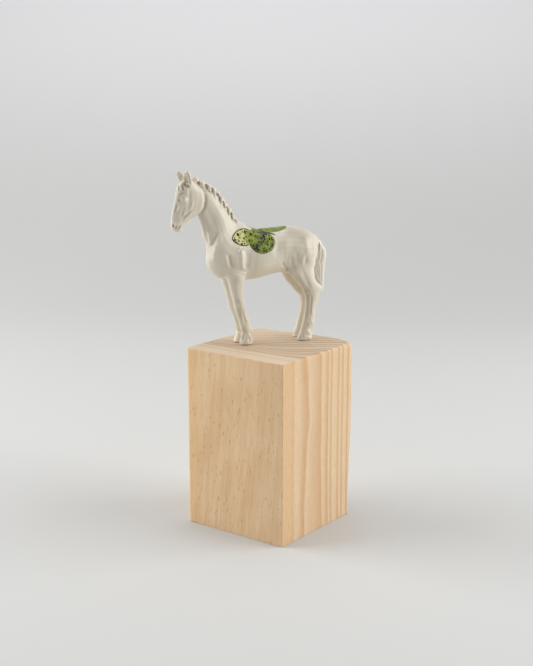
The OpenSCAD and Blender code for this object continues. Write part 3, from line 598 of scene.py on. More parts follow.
def cut_piece(source, name, planes, side=None):
    """A closed piece of the sculpt, cut by planes given as a point and a normal to drop."""
    bm = bmesh.new()
    bm.from_mesh(source.data)
    for point, normal in planes:
        geom = bm.verts[:] + bm.edges[:] + bm.faces[:]
        bmesh.ops.bisect_plane(bm, geom=geom, plane_co=point, plane_no=normal, clear_outer=True, dist=1e-7)
    if side is not None:
        drop = [v for v in bm.verts if not side(v.co)]
        bmesh.ops.delete(bm, geom=drop, context="VERTS")
    rim = [e for e in bm.edges if e.is_boundary]
    caps = bmesh.ops.holes_fill(bm, edges=rim, sides=0)["faces"]
    for e in rim:
        if e.is_valid:
            e.smooth = False
    for f in caps:
        f.smooth = False
    mesh = bpy.data.meshes.new(name)
    bm.to_mesh(mesh)
    bm.free()
    return linked(name, mesh)


def quadrant(front, left):
    x_mid, y_mid = to_row([LEGS_PARTED_X, 0, 0])[:2]
    return lambda p: ((p.x < x_mid) == front) and ((p.y < y_mid) == left)


horse_co, horse_quads = horse_skin()
horse_co, shade = carved(reshaped(horse_co), horse_quads)
horse_co, shade = shod(horse_co, shade)
horse_n = normals(horse_co, horse_quads)
# painted light: the back of the near thigh is taken off the cavity, so the material paints it paler
painted_light = THIGH_PAINTED_LIGHT*bell(path_distance(seen(horse_co), THIGH_PAINTED_LIGHT_PATH)[0], 0, THIGH_PAINTED_LIGHT_RADIUS)*(horse_co[:, 1] < 0)
whole = make_object("horse_whole", horse_co, horse_quads,
                    {"cavity": cavity(horse_co, horse_quads) - painted_light, "shade": shade})
neck_point = Vector(to_row(NECK_JOINT))
leg_point = Vector(to_row([0, 0, LEG_JOINT_Z]))
pieces = {
    "horse_body": cut_piece(whole, "body_casting", [(neck_point, NECK_NORMAL), (leg_point, -UP)]),
    "head": cut_piece(whole, "head_casting", [(neck_point, -NECK_NORMAL)]),
}
for end in ("front", "hind"):
    for hand in ("left", "right"):
        leg = end + "_" + hand + "_leg"
        inside = quadrant(end == "front", hand == "left")
        pieces[leg] = cut_piece(whole, leg + "_casting", [(leg_point, UP)], inside)


MANE_SLITS = [
    ([(194.8, 178), (196, 180)], 1.2, -0.5, 0),
    ([(198, 181.4), (199.2, 184.6)], 1.1, -1, 0.1),
    ([(205.7, 183.6), (207.6, 189.4)], 1.3, -1.2, 0.1),
    ([(211.8, 187), (213.2, 193.2)], 1.2, -1.2, 0.1),
    ([(216.6, 192.4), (217.6, 196), (219.6, 203.4)], 1.6, -1.4, 0.12),
    ([(218.6, 193.2), (220.4, 198.4)], 1.4, -1.1, 0.12),
    ([(223.8, 200.8), (222.9, 207.4)], 1.2, -1.2, 0.1),
    ([(226.8, 206), (227.7, 214.4)], 1.3, -1.3, 0.1),
    ([(231.1, 212), (231.7, 220)], 1.3, -1.3, 0.1),
    ([(234.4, 218.4), (236.6, 222.2)], 1, -1, 0.1),
]
# The plaits that stand proud between the slits
PLAIT_LINES = [
    ((202.4, 181.6), (203.6, 187.6)), ((208.8, 184), (210.9, 192)), ((214.2, 188.3), (215.5, 197.6)),
    ((221.8, 197), (221.1, 206)), ((225.4, 202.4), (225.1, 209.6)), ((229.5, 208.8), (229.2, 216.6)),
    ((233, 215.3), (233.7, 221.2)),
]
PLAITS = [(line, 0.95, 1.0, 0.1) for line in PLAIT_LINES]
TAIL_STROKES = [
    ([(319.1, 248), (319.4, 255), (318, 262)], 0.8, -0.5, 0.2),
    ([(322.4, 248.5), (322, 257.6), (320.2, 264)], 0.8, -0.6, 0.2),
    ([(320.8, 246), (320.8, 256), (319.2, 264)], 0.6, 0.3, 0.2),
    ([(321.8, 262), (321.4, 274), (322, 284)], 0.8, -0.4, 0.2),
    ([(319, 264), (318.8, 274), (320.6, 283)], 0.8, -0.4, 0.2),
    ([(317, 258), (316.8, 268), (318.6, 278)], 0.7, -0.35, 0.2),
]
FORELOCK_STROKES = [
    ([(178.6, 185), (178.5, 191)], 0.7, -0.6, 0.1),
    ([(181.4, 184.6), (183.9, 190.6)], 0.7, -0.6, 0.1),
    ([(183.8, 182.4), (188.4, 187)], 0.8, -0.6, 0.1),
]
LEFT_EAR_STROKES = [
    ([(184.8, 175.4), (185.2, 178.4), (185.4, 181.6)], 0.9, 0.35, 0.2),
    ([(186.8, 172), (188.3, 176.2), (189.8, 180.6), (190.1, 185.4)], 0.6, -0.5, 0.1),
    ([(186.2, 174.6), (187.6, 179.2), (188.4, 183.4)], 0.6, 0.3, 0.2),
    ([(183, 175.2), (182.5, 180.4)], 0.6, 0.4, 0.2),
    ([(184.2, 183.4), (186.4, 185.3), (189.4, 188)], 0.8, -0.8, 0.1),
]
RIGHT_EAR_STROKES = [
    ([(178.6, 172.2), (180.8, 175.6), (181.6, 179)], 1.3, -0.45, 0.15),
]
# The mane's crest: place along the horse, reach, and millimetres up
CREST = [(-42, 3.4, 0.8), (-33, 5, 0.75), (-43.4, 1.6, 1.0), (-29.3, 1.5, 0.5), (-23.4, 1.6, -0.6),
         (-20.2, 1.3, 1.4), (-16.8, 1.2, -0.5)]
TAIL_DROOP, TAIL_END_FULLER = 1.1, 0.45
STRAND_PROUD = 0.6


def raised_mane(co, quads):
    top = np.clip(normals(co, quads)[:, 2]*2 + 0.4, 0, 1)
    co[:, 2] += sum(up*bell(co[:, 0], place, reach) for place, reach, up in CREST)*top
    return co


def hung_tail(co, quads):
    """The tail drawn toward the leg, with its end lower and thicker."""
    co = pulled(co, PULLS + [TAIL_PULL])
    low = rising(seen(co)[:, 1], 264, 20)[:, None]
    return co + (VIEW_RIGHT*0.3 - VIEW_UP)*TAIL_DROOP*low + normals(co, quads)*TAIL_END_FULLER*low**3


def parted_forelock(co, quads):
    return pulled(co, PULLS)


def leaned_ear(co, quads):
    return co + VIEW_RIGHT*rising(seen(co)[:, 1], 170.5, 10)[:, None]


def small_sculpt(node, name, voxel, rounds, shift, strokes, dark, shape=None, mirror=False, strands=(),
                 hollow=1.0, painted_light=0.0):
    """A small casting, shaped and then carved like the horse, with painted shade in its cuts."""
    co, quads = remeshed([node], voxel)
    co = relaxed(co, quads, rounds)
    if shape:
        co = shape(co, quads)
    n = normals(co, quads)
    uv, face = near_view(co, n, None, mirror)
    # painted shade in the cuts, dark times their depth, and none on the plaits that stand proud
    cuts = [(path, radius, -height*dark, *taper) for path, radius, height, *taper in strokes if height < 0]
    pale = painted_shade(uv, face, strands)
    shade = painted_shade(uv, face, cuts)*(1 - pale)
    lift = relief(uv, face, strokes)*(1 - pale) + STRAND_PROUD*pale
    co = relaxed(co + n*lift[:, None], quads, 2, 0.5, keep_volume=False) + np.array(shift)
    # the cavity, scaled by hollow, gives painted shade in hollows and painted highlight on edges; the painted
    # light lowers it to make the piece paler
    return make_object(name, co, quads, {"cavity": cavity(co, quads)*hollow - painted_light, "shade": shade})


pieces["mane"] = small_sculpt("mane", "plaited_mane", 0.2, 8, (-0.12, 0, -0.16), MANE_SLITS, 0.42,
                              raised_mane, mirror=True, strands=PLAITS, hollow=0.4)
# the tail is given painted light, paler all over
pieces["tail"] = small_sculpt("tail", "carved_tail", 0.24, 8, (-0.25, 0, 0), TAIL_STROKES, 0.15, hung_tail,
                              mirror=True, hollow=0.3, painted_light=0.11)
pieces["left_ear"] = small_sculpt("left_ear", "left_ear_casting", 0.15, 5, (0, 0, 0.2), LEFT_EAR_STROKES, 0.6)
pieces["right_ear"] = small_sculpt("right_ear", "right_ear_casting", 0.15, 5, (0, 0, 0.2), RIGHT_EAR_STROKES,
                                   0.5, leaned_ear)
pieces["forelock"] = small_sculpt("forelock", "carved_forelock", 0.16, 4, (0.1, 0, 0), FORELOCK_STROKES, 0.9,
                                  parted_forelock)


# The butterfly's film: outlines as shares of the wings' length and depth, from the root or the tail end
WING_ROOT = np.array([-12.0, 68.24])
BUG_TAIL = np.array([4.5, -7.44])
WING_L, WING_D, FAR_L, FAR_D = 27.0, 15.5, 27.0, 13.5
FORE = [(0.08, 0.05), (-0.08, 0.16), (-0.24, 0.11), (-0.37, -0.04), (-0.41, -0.20), (-0.34, -0.34),
        (-0.20, -0.45), (-0.04, -0.44), (0.05, -0.22)]
HIND = [(-0.05, -0.02), (0.14, 0.10), (0.30, 0.06), (0.44, -0.03), (0.55, -0.20), (0.57, -0.42),
        (0.48, -0.66), (0.29, -0.78), (0.11, -0.70), (-0.01, -0.46)]
FAR_FORE = [(-0.30, 0.34), (-0.42, 0.37), (-0.56, 0.52), (-0.63, 0.80), (-0.57, 1.08), (-0.43, 1.24),
            (-0.28, 1.14), (-0.18, 0.80)]
FAR_HIND = [(-0.34, 0.30), (-0.16, 0.16), (0.02, 0.12), (0.18, 0.18), (0.30, 0.27), (0.34, 0.42),
            (0.345, 0.62), (0.18, 1.02), (0.00, 1.10), (-0.16, 0.92), (-0.26, 0.60)]
BUG = [(0, 0.08), (0.2, 0.24), (0.45, 0.34), (0.58, 0.30), (0.7, 0.5), (0.86, 0.46), (0.93, 0.26), (1, 0.2)]
BUG_L, BUG_W, BUG_TURN = 14.0, 2.0, math.radians(21)
FILM_PROUD, FILM_T = 0.07, 0.12
BACK_Z = 56


def closed_curve(points, scale, start, steps=6):
    """Smooth closed outline through points."""
    v = np.asarray(points)*scale + start
    out = []
    for i in range(len(v)):
        a, b, c, d = v[i - 1], v[i], v[(i + 1) % len(v)], v[(i + 2) % len(v)]
        for k in range(steps):
            t = k/steps
            out.append(0.5*(2*b + (c - a)*t + (2*a - 5*b + 4*c - d)*t*t + (3*b - a - 3*c + d)*t**3))
    return np.array(out)


FLANK_FORE = closed_curve(FORE, (WING_L, WING_D), WING_ROOT)
FLANK_HIND = closed_curve(HIND, (WING_L, WING_D), WING_ROOT)
BACK_FORE = closed_curve(FAR_FORE, (FAR_L, FAR_D), BUG_TAIL)
BACK_HIND = closed_curve(FAR_HIND, (FAR_L, FAR_D), BUG_TAIL)


def depth_inside(p, outline):
    """Distance to an outline, positive inside it and negative outside."""
    d, _ = path_distance(p, np.vstack([outline, outline[:1]]))
    inside = np.zeros(len(p), dtype=bool)
    for a, b in zip(outline, np.roll(outline, -1, axis=0)):
        crosses = (a[1] > p[:, 1]) != (b[1] > p[:, 1])
        x = a[0] + (p[:, 1] - a[1])*(b[0] - a[0])/(b[1] - a[1] if b[1] != a[1] else 1e-9)
        inside ^= crosses & (p[:, 0] < x)
    return np.where(inside, d, -d)


def bug_frame(p):
    """Along the butterfly's body from its tail end, across it, and how deep inside its outline."""
    q = p[:, :2] - BUG_TAIL
    along = -q[:, 0]*math.cos(BUG_TURN) + q[:, 1]*math.sin(BUG_TURN)
    across = q[:, 0]*math.sin(BUG_TURN) + q[:, 1]*math.cos(BUG_TURN)
    half = np.interp(along/BUG_L, *np.array(BUG).T)*BUG_W
    beside = (along > 0) & (along < BUG_L)
    return along, across, np.where(beside, half - np.abs(across), -1.0)


def flank_depths(p):
    """How deep points lie in the near fore and hind wings, which are drawn from the side."""
    q = p[:, [0, 2]]
    return q, depth_inside(q, FLANK_FORE), depth_inside(q, FLANK_HIND)


def keep_left(p):
    _, f, h = flank_depths(p)
    along, across, depth = bug_frame(p)
    beyond = (along > 0) & (along < BUG_L) & (across > 0)
    return (p[:, 1] < 0) & (np.maximum(f, h) > 0) & (depth < -0.1) & ~beyond


def keep_right(p):
    f, h = depth_inside(p[:, :2], BACK_FORE), depth_inside(p[:, :2], BACK_HIND)
    return (p[:, 2] > BACK_Z) & (np.maximum(f, h) > 0) & (bug_frame(p)[2] < -0.1)


def keep_body(p):
    return (p[:, 2] > BACK_Z) & (bug_frame(p)[2] > 0)


def linear(rgb):
    c = np.asarray(rgb, dtype=float)/255
    return np.where(c <= 0.04045, c/12.92, ((c + 0.055)/1.055)**2.4)


def painted(p, base, coats):
    """Coats of colour over a base, each with its cover from 0 to 1."""
    c = np.tile(linear(base), (len(p), 1))
    for colour, cover in coats:
        c = c + (linear(colour) - c)*cover
    return c


def soft(x, low, high):
    return smooth_step(x, low, high)[:, None]


def waves(p, seed, scale):
    """Smooth wandering values between about -1 and 1."""
    rng = np.random.default_rng(seed)
    out = np.zeros(len(p))
    for _ in range(9):
        k = rng.normal(size=2)
        k *= rng.uniform(0.6, 1.6)/np.linalg.norm(k)
        out += np.sin((p @ k)*2*math.pi/scale + rng.uniform(0, 6.28))
    return out/3.4


def scattered(outline, gap, rim, seed, tries=900):
    """Places inside an outline that keep their distance from each other and from the rim."""
    rng = np.random.default_rng(seed)
    places = rng.uniform(outline.min(axis=0), outline.max(axis=0), size=(tries, 2))
    spots = []
    for q, d in zip(places, depth_inside(places, outline)):
        if d > rim and all(np.hypot(*(q - o)) > gap for o in spots):
            spots.append(q)
    return np.array(spots)


def spotted(p, spots, size):
    """Cover of spots of unlike sizes and widths."""
    best = np.full(len(p), -1e9)
    for i, q in enumerate(spots):
        r = size*(0.75 + 0.5*((i*0.618) % 1))
        best = np.maximum(best, r - np.hypot(*((p - q)*np.array([1, 1 + 0.3*math.sin(i*2.1)])).T))
    return soft(best, -0.1, 0.14)


def veined(p, root, count, thin, thick):
    """Cover of veins that spread from the root."""
    turn = np.arctan2(p[:, 1] - root[1], p[:, 0] - root[0])
    vein = np.abs(((turn*count/math.pi*2) % 1) - 0.5)*np.hypot(*(p - root).T)*0.34
    return 1 - soft(vein, thin, thick)


def paint_fore(p, outline, root, seed, overlap=None):
    """A fore wing: straw yellow, green toward the body and the hind wing, spotted and dark rimmed."""
    d = depth_inside(p, outline)
    free = 1 if overlap is None else 1 - soft(overlap, -1.4, -0.2)
    under = 0 if overlap is None else soft(overlap, -2.6, 0.2)
    w = waves(p, seed, 3.0)
    r = np.hypot(*(p - root).T)
    return painted(p, (226, 220, 156), [
        ((184, 194, 78), soft(w + 0.5*np.sin(r*1.3), 0.15, 1.0)*0.85),
        ((150, 160, 40), soft(-r, -4.6, -2.2)*0.8),
        ((150, 158, 44), under*0.9),
        ((128, 132, 62), veined(p, root, 4.6, 0.08, 0.3)*0.55),
        ((30, 30, 20), spotted(p, scattered(outline, 1.7, 0.9, seed), 0.42)),
        ((12, 14, 10), spotted(p, scattered(outline, 3.4, 0.8, seed + 5), 0.8)),
        ((40, 50, 30), (1 - soft(d - (0.6 + 0.25*w), -0.25, 0.3))*free),
        ((22, 28, 20), (1 - soft(d, 0.1, 0.45))*free),
    ])


def paint_hind(p, outline, root, seed, marks=1.0):
    """A hind wing: olive and green, blotched, with a row of dots inside its rim."""
    d = depth_inside(p, outline)
    w = waves(p, seed, 3.4)
    v = waves(p, seed + 3, 2.0)
    r = np.hypot(*(p - root).T)
    rim = np.array([outline[k] for k in np.linspace(0, len(outline) - 1, 23).astype(int)[:-1]])
    row = rim + (outline.mean(axis=0) - rim)*0.19
    row = row[np.hypot(*(row - root).T) > 5.5]
    near = (r < 5.5)[:, None]
    inner = soft(root[0] + 4.5 - p[:, 0], 0.0, 2.0)*np.where(near, 0.2, 1.0)*marks
    return painted(p, (132, 144, 46), [
        ((188, 196, 84), soft(v, 0.05, 0.7)*0.8*marks),
        ((60, 78, 28), soft(-w, 0.1, 0.9)*0.85*marks),
        ((100, 130, 84), soft(r, 9.0, 13.0)*soft(root[1] - p[:, 1], 5.0, 9.0)*0.6),
        ((70, 86, 30), veined(p, root, 4.2, 0.05, 0.28)*0.45),
        ((30, 40, 50), soft(1.7 - np.abs(r - 7.0) + 1.1*v, 0.2, 0.7)*soft(w, -0.5, 0.0)*marks),
        ((12, 16, 12), spotted(p, scattered(outline, 2.9, 1.7, seed + 1), 0.66)*marks),
        ((14, 20, 14), spotted(p, row, 0.62)*marks),
        ((160, 170, 60), soft(d, 0.3, 0.5)*(1 - soft(d, 0.7, 0.95))*0.6),
        ((20, 26, 14), (1 - soft(d, 0.45, 0.85))*inner),
        ((58, 66, 26), (1 - soft(d, 0.1, 0.45))*np.where(near, 0.4, 1.0)*(1 - inner)),
    ])


def paint_left(p):
    q, f, h = flank_depths(p)
    root = WING_ROOT + (1.4, -1.0)
    fore, hind = paint_fore(q, FLANK_FORE, root, 11, h), paint_hind(q, FLANK_HIND, root, 23)
    return np.where((f > 0)[:, None], fore, hind)


def paint_right(p):
    q = p[:, :2]
    root = BUG_TAIL + (-6.5, 4.6)
    fore, hind = paint_fore(q, BACK_FORE, root, 31), paint_hind(q, BACK_HIND, root, 47, 0.35)
    return np.where((depth_inside(q, BACK_FORE) > 0)[:, None], fore, hind)


def paint_bug(p):
    """The body: dark, greyer at the head end, with paler rings behind it."""
    along, across, _ = bug_frame(p)
    band = (np.sin(along*5.2)*0.5 + 0.5)*(along < 8.2)
    return painted(p, (52, 56, 38), [
        ((126, 132, 116), soft(along, 8.4, 9.6)*(1 - soft(np.abs(across), 0.5, 0.95))),
        ((96, 104, 60), soft(band, 0.5, 0.9)*0.5),
    ])


def fine_patch(co, n, quads, mask, k=4):
    """The quads whose corners are all in mask, each split into k by k, with their normals."""
    q = quads[mask[quads].all(axis=1)]
    t = np.linspace(0, 1, k + 1)
    u, v = (g.ravel() for g in np.meshgrid(t, t, indexing="ij"))
    w = np.stack([(1 - u)*(1 - v), u*(1 - v), u*v, (1 - u)*v], axis=1)
    points, norms = (np.einsum("gk,qkd->qgd", w, values[q]).reshape(-1, 3) for values in (co, n))
    base = np.arange(len(q))[:, None]*(k + 1)**2
    cell = [[i*(k + 1) + j, (i + 1)*(k + 1) + j, (i + 1)*(k + 1) + j + 1, i*(k + 1) + j + 1]
            for i in range(k) for j in range(k)]
    faces = (base[:, :, None] + np.array(cell)[None]).reshape(-1, 4)
    keys = np.round(points*2000).astype(np.int64)
    _, first, index = np.unique(keys, axis=0, return_index=True, return_inverse=True)
    return points[first], norms[first], index.ravel()[faces]


def film_piece(name, paint, keep, mask):
    """A printed film on the sculpted skin, with its colours painted by a function."""
    flank = (horse_co[:, 0] > -27) & (horse_co[:, 0] < 18) & (horse_co[:, 2] > 53)
    pts, nrm, faces = fine_patch(horse_co, horse_n, horse_quads, flank & mask)
    used, faces = compact(len(pts), faces[keep(pts[faces].mean(axis=1))])
    pts = pts[used]
    nrm = nrm[used]/np.linalg.norm(nrm[used], axis=1, keepdims=True)
    ob = make_object(name, pts + nrm*FILM_PROUD, faces)
    rgba = np.ones((len(pts), 4), dtype=np.float32)
    rgba[:, :3] = paint(pts)
    ob.data.attributes.new("paint", "FLOAT_COLOR", "POINT").data.foreach_set("color", rgba.ravel())
    solid = ob.modifiers.new("thickness", "SOLIDIFY")
    solid.thickness = FILM_T*MM
    solid.offset = -1
    return ob


side_y = horse_co[:, 1]
films = {
    "butterfly_left_wings": film_piece("left_wings_print", paint_left, keep_left, side_y < 0.5),
    "butterfly_right_wings": film_piece("right_wings_print", paint_right, keep_right, side_y > -9),
    "butterfly_body": film_piece("butterfly_body_print", paint_bug, keep_body, (side_y < 1) & (side_y > -11)),
}
bpy.data.objects.remove(whole)


# Materials
def srgb(*rgb):
    return tuple(float(c) for c in linear(rgb)) + (1.0,)


class Tree:
    """Short names for building a material's nodes."""

    def __init__(self, name):
        self.mat = bpy.data.materials.new(name)
        self.mat.use_nodes = True
        self.nt = self.mat.node_tree
        self.bsdf = self.nt.nodes["Principled BSDF"]

    def node(self, kind, **props):
        n = self.nt.nodes.new(kind)
        for k, v in props.items():
            setattr(n, k, v)
        return n

    def put(self, socket, value):
        if isinstance(value, bpy.types.NodeSocket):
            self.nt.links.new(value, socket)
        else:
            socket.default_value = value

    def math(self, op, a, b=0.0, clamp=False):
        n = self.node("ShaderNodeMath", operation=op, use_clamp=clamp)
        self.put(n.inputs[0], a)
        self.put(n.inputs[1], b)
        return n.outputs[0]

    def times(self, a, b):
        return self.math("MULTIPLY", a, b)

    def plus(self, a, b):
        return self.math("ADD", a, b)

    def minus(self, a, b):
        return self.math("SUBTRACT", a, b)

    def over(self, base, rgb, amount):
        """A colour laid over another by some amount."""
        n = self.node("ShaderNodeMix", data_type="RGBA", blend_type="MIX")
        self.put(n.inputs[0], amount)
        self.put(n.inputs[6], base)
        self.put(n.inputs[7], srgb(*rgb))
        return n.outputs[2]

    def noise(self, vector, scale, detail=2.0, rough=0.5):
        n = self.node("ShaderNodeTexNoise", noise_dimensions="3D")
        self.put(n.inputs["Vector"], vector)
        n.inputs["Scale"].default_value = scale
        n.inputs["Detail"].default_value = detail
        n.inputs["Roughness"].default_value = rough
        return n.outputs[0]

    def ramp(self, factor, low, high, start=0.0, end=1.0):
        """A soft step between two values of the factor."""
        n = self.node("ShaderNodeMapRange", interpolation_type="SMOOTHSTEP")
        self.put(n.inputs[0], factor)
        for s, v in zip(n.inputs[1:5], (low, high, start, end)):
            s.default_value = v
        return n.outputs[0]

    def objects(self):
        return self.node("ShaderNodeTexCoord").outputs["Object"]

    def attribute(self, name, output="Fac"):
        return self.node("ShaderNodeAttribute", attribute_name=name).outputs[output]

    def joined(self, *values):
        n = self.node("ShaderNodeCombineXYZ")
        for socket, value in zip(n.inputs, values):
            self.put(socket, value)
        return n.outputs[0]

    def finish(self, colour, rough, level=0.5, metal=0.0):
        self.put(self.bsdf.inputs["Base Color"], colour)
        self.put(self.bsdf.inputs["Roughness"], rough)
        self.bsdf.inputs["Specular IOR Level"].default_value = level
        self.bsdf.inputs["Metallic"].default_value = metal
        return self.mat

    def emboss(self, height, distance, strength):
        """Bumps whose full height is a distance in metres."""
        n = self.node("ShaderNodeBump")
        n.inputs["Strength"].default_value = strength
        n.inputs["Distance"].default_value = distance
        self.put(n.inputs["Height"], height)
        self.put(self.bsdf.inputs["Normal"], n.outputs[0])


def ivory():
    """Cream resin, with painted shade in its hollows and where the shade attribute was drawn, and painted
    highlight on its edges.
    """
    t = Tree("ivory_resin")
    p = t.objects()
    hollow = t.attribute("cavity")
    tone = t.noise(p, 90, 3, 0.6)
    base = t.over(srgb(222, 214, 196), (217, 207, 186), t.ramp(tone, 0.35, 0.65, end=0.5))
    # painted shade in the hollows, from the cavity attribute
    base = t.over(base, (158, 142, 114), t.times(t.ramp(hollow, 0.01, 0.22), 0.6))
    # painted shade from the shade attribute: creases, slits, soles, rump top and leg cores
    base = t.over(base, (108, 88, 62), t.math("MULTIPLY", t.attribute("shade"), 0.95, clamp=True))
    # painted highlight on the edges and where painted light lowered the cavity
    base = t.over(base, (236, 232, 220), t.times(t.ramp(hollow, -0.14, -0.02, 1.0, 0.0), 0.5))
    grain = t.plus(t.times(t.noise(p, 1400, 3, 0.6), 0.4), t.noise(p, 420, 2, 0.5))
    t.emboss(grain, 0.00006, 0.6)
    return t.finish(base, 0.42)


def printed(name):
    """Thin printed film: painted colours under a slightly glossy, finely grained coat."""
    t = Tree(name)
    p = t.objects()
    grain = t.noise(p, 5200, 3, 0.6)
    tone = t.noise(p, 260, 2, 0.5)
    base = t.over(t.attribute("paint", "Color"), (66, 76, 34), t.times(t.ramp(grain, 0.42, 0.66), 0.2))
    base = t.over(base, (196, 206, 120), t.times(t.ramp(tone, 0.45, 0.7), 0.12))
    t.emboss(grain, 0.00003, 0.4)
    return t.finish(base, t.plus(0.38, t.times(tone, 0.12)), 0.4)


def brushed_steel():
    t = Tree("steel")
    n = t.node("ShaderNodeMapping")
    t.put(n.inputs["Vector"], t.objects())
    n.inputs["Scale"].default_value = (1, 1, 0.06)
    lines = t.noise(n.outputs[0], 9000, 2, 0.6)
    t.emboss(lines, 0.00002, 0.5)
    base = t.over(srgb(150, 152, 155), (188, 190, 192), lines)
    return t.finish(base, t.plus(0.3, t.times(lines, 0.2)), metal=1.0)


# Bands of late wood: depth behind the left face in millimetres, and strength
LATE_WOOD = [(-6, 0.3), (10.4, 0.3), (17.2, 0.75), (20.6, 0.7), (24.1, 0.75), (27.7, 0.7), (35.0, 0.75),
             (39.6, 0.7), (45.5, 0.8)]
RINGS_FROM, RINGS_SPAN = -10.0, 90.0
FAR_RINGS_FROM, FAR_RING_STEP = 45.5, 5.4


def late_wood(t, ring):
    """How dark the late wood is at a depth in the rings: each band rises slowly and ends sharply."""
    ramp = t.node("ShaderNodeValToRGB")
    t.put(ramp.inputs[0], t.math("DIVIDE", t.minus(ring, RINGS_FROM), RINGS_SPAN))
    stops = []
    for depth, strength in LATE_WOOD:
        x = (depth - RINGS_FROM)/RINGS_SPAN
        stops += [(x - 0.028, 0.12*strength), (x, strength), (x + 0.006, 0.0)]
    while len(ramp.color_ramp.elements) > 1:
        ramp.color_ramp.elements.remove(ramp.color_ramp.elements[-1])
    ramp.color_ramp.elements[0].position = 0.0
    ramp.color_ramp.elements[0].color = (0, 0, 0, 1)
    for x, v in stops:
        e = ramp.color_ramp.elements.new(min(0.999, max(0.001, x)))
        e.color = (v, v, v, 1)
    behind = t.math("FRACT", t.math("DIVIDE", t.minus(ring, FAR_RINGS_FROM), FAR_RING_STEP))
    behind = t.times(t.math("POWER", behind, 3.0), t.math("GREATER_THAN", ring, FAR_RINGS_FROM + 0.5))
    return t.plus(ramp.outputs[0], t.times(behind, 0.65))


def resin_canals(t, cells):
    """Short dark dashes, one in about half of the cells."""
    spots = t.node("ShaderNodeTexVoronoi", feature="F1")
    t.put(spots.inputs["Vector"], cells)
    spots.inputs["Randomness"].default_value = 1.0
    chance = t.node("ShaderNodeSeparateColor")
    t.put(chance.inputs[0], spots.outputs["Color"])
    size = t.times(t.ramp(chance.outputs[0], 0.5, 1.0), 0.36)
    dash = t.ramp(t.minus(size, spots.outputs["Distance"]), 0.0, 0.1)
    return t.times(dash, t.ramp(chance.outputs[1], 0.0, 1.0, 0.35))


def pine():
    """Pine cut so that the growth rings lie parallel to the block's left face."""
    t = Tree("pine")
    p = t.objects()

    def along(vector, direction):
        n = t.node("ShaderNodeVectorMath", operation="DOT_PRODUCT")
        t.put(n.inputs[0], vector)
        n.inputs[1].default_value = tuple(float(v) for v in direction)
        return n.outputs["Value"]

    across = along(p, BLOCK_ACROSS/MM)
    deep = t.minus(BLOCK_W/2, along(p, BLOCK_DEEP/MM))
    high = along(p, UP/MM)
    slow = t.joined(t.times(across, 0.03), t.times(deep, 0.03), t.times(high, 0.012))
    wander = t.minus(t.noise(slow, 1.0, 3, 0.5), 0.5)
    bow = t.times(t.times(across, t.ramp(deep, 10.0, 50.0, end=0.65)), -1.0)
    band = late_wood(t, t.plus(deep, t.plus(bow, t.times(wander, 4.0))))
    lean = t.plus(across, t.times(high, -0.09))

    def cells(wide, tall):
        """Coordinates that count cells of some width and height in millimetres."""
        sizes = (lean, wide), (deep, wide), (high, tall)
        return t.joined(*(t.math("DIVIDE", value, size) for value, size in sizes))

    fibre = t.noise(cells(0.55, 16.0), 1.0, 3, 0.6)
    streak = t.noise(cells(3.2, 60.0), 1.0, 2, 0.5)
    cloud = t.noise(cells(26.0, 38.0), 1.0, 2, 0.5)
    pores = t.noise(cells(0.7, 900.0), 1.0, 3, 0.7)
    dash = resin_canals(t, cells(2.8, 22.0))
    facing = t.node("ShaderNodeNewGeometry").outputs["Normal"]
    top = t.ramp(along(facing, UP), 0.5, 0.9)
    right_face = t.ramp(along(facing, BLOCK_ACROSS), 0.4, 0.9)

    early = t.over(srgb(234, 204, 164), (226, 192, 150), t.ramp(cloud, 0.35, 0.65))
    early = t.over(early, (214, 172, 126), t.times(t.ramp(streak, 0.4, 0.62), 0.35))
    early = t.over(early, (234, 213, 183), t.times(right_face, 0.6))
    # warmer along the left arris and next to the front one, paler behind it
    early = t.over(early, (236, 196, 142), t.ramp(across, -35.0, -22.0, 0.55, 0.0))
    early = t.over(early, (214, 186, 150), t.ramp(across, 0.0, 34.0, end=0.3))
    early = t.over(early, (222, 182, 134), t.times(right_face, t.ramp(deep, 11.0, 13.0, 0.6, 0.0)))
    sides = t.over(early, (198, 146, 92), t.times(band, 0.85))
    sides = t.over(sides, (186, 142, 96), t.times(t.ramp(fibre, 0.42, 0.7), 0.25))
    dash_shown = t.times(t.times(dash, t.minus(1.0, top)), t.minus(0.85, t.times(right_face, 0.6)))
    sides = t.over(sides, (156, 104, 56), dash_shown)
    grain = t.over(srgb(219, 199, 173), (152, 116, 78), t.times(band, 0.9))
    grain = t.over(grain, (178, 150, 118), t.times(t.ramp(pores, 0.4, 0.65), 0.35))
    whole_colour = t.node("ShaderNodeMix", data_type="RGBA", blend_type="MIX")
    for socket, value in ((0, top), (6, sides), (7, grain)):
        t.put(whole_colour.inputs[socket], value)
    height = t.plus(t.minus(t.times(band, 0.6), t.times(dash, 0.25)), t.times(fibre, 0.45))
    t.emboss(t.plus(height, t.times(t.times(pores, top), 0.8)), 0.00025, 0.7)
    return t.finish(whole_colour.outputs[2], t.plus(0.58, t.times(fibre, 0.14)), 0.3)


wing_film, dark_film = printed("wing_film"), printed("dark_film")
for node, film in films.items():
    if node == "butterfly_body":
        dress(film, node, dark_film)
    else:
        dress(film, node, wing_film)

ivory_resin = ivory()
for node, piece in pieces.items():
    dress(piece, node, ivory_resin)

steel = brushed_steel()
for end in ("front", "hind"):
    for hand in ("left", "right"):
        pin = nodes[end + "_" + hand + "_pin"]
        pin.data.materials.clear()
        pin.data.materials.append(steel)


# The block
def cushioned(length):
    """Places along an edge, close together near both ends."""
    near = np.array([0, 0.12, 0.3, 0.55, 0.9, 1.3, 1.8, 2.4, 3.1, 4.0])
    return np.concatenate([near, np.linspace(5.0, length - 5.0, int(length/1.6)), length - near[::-1]])


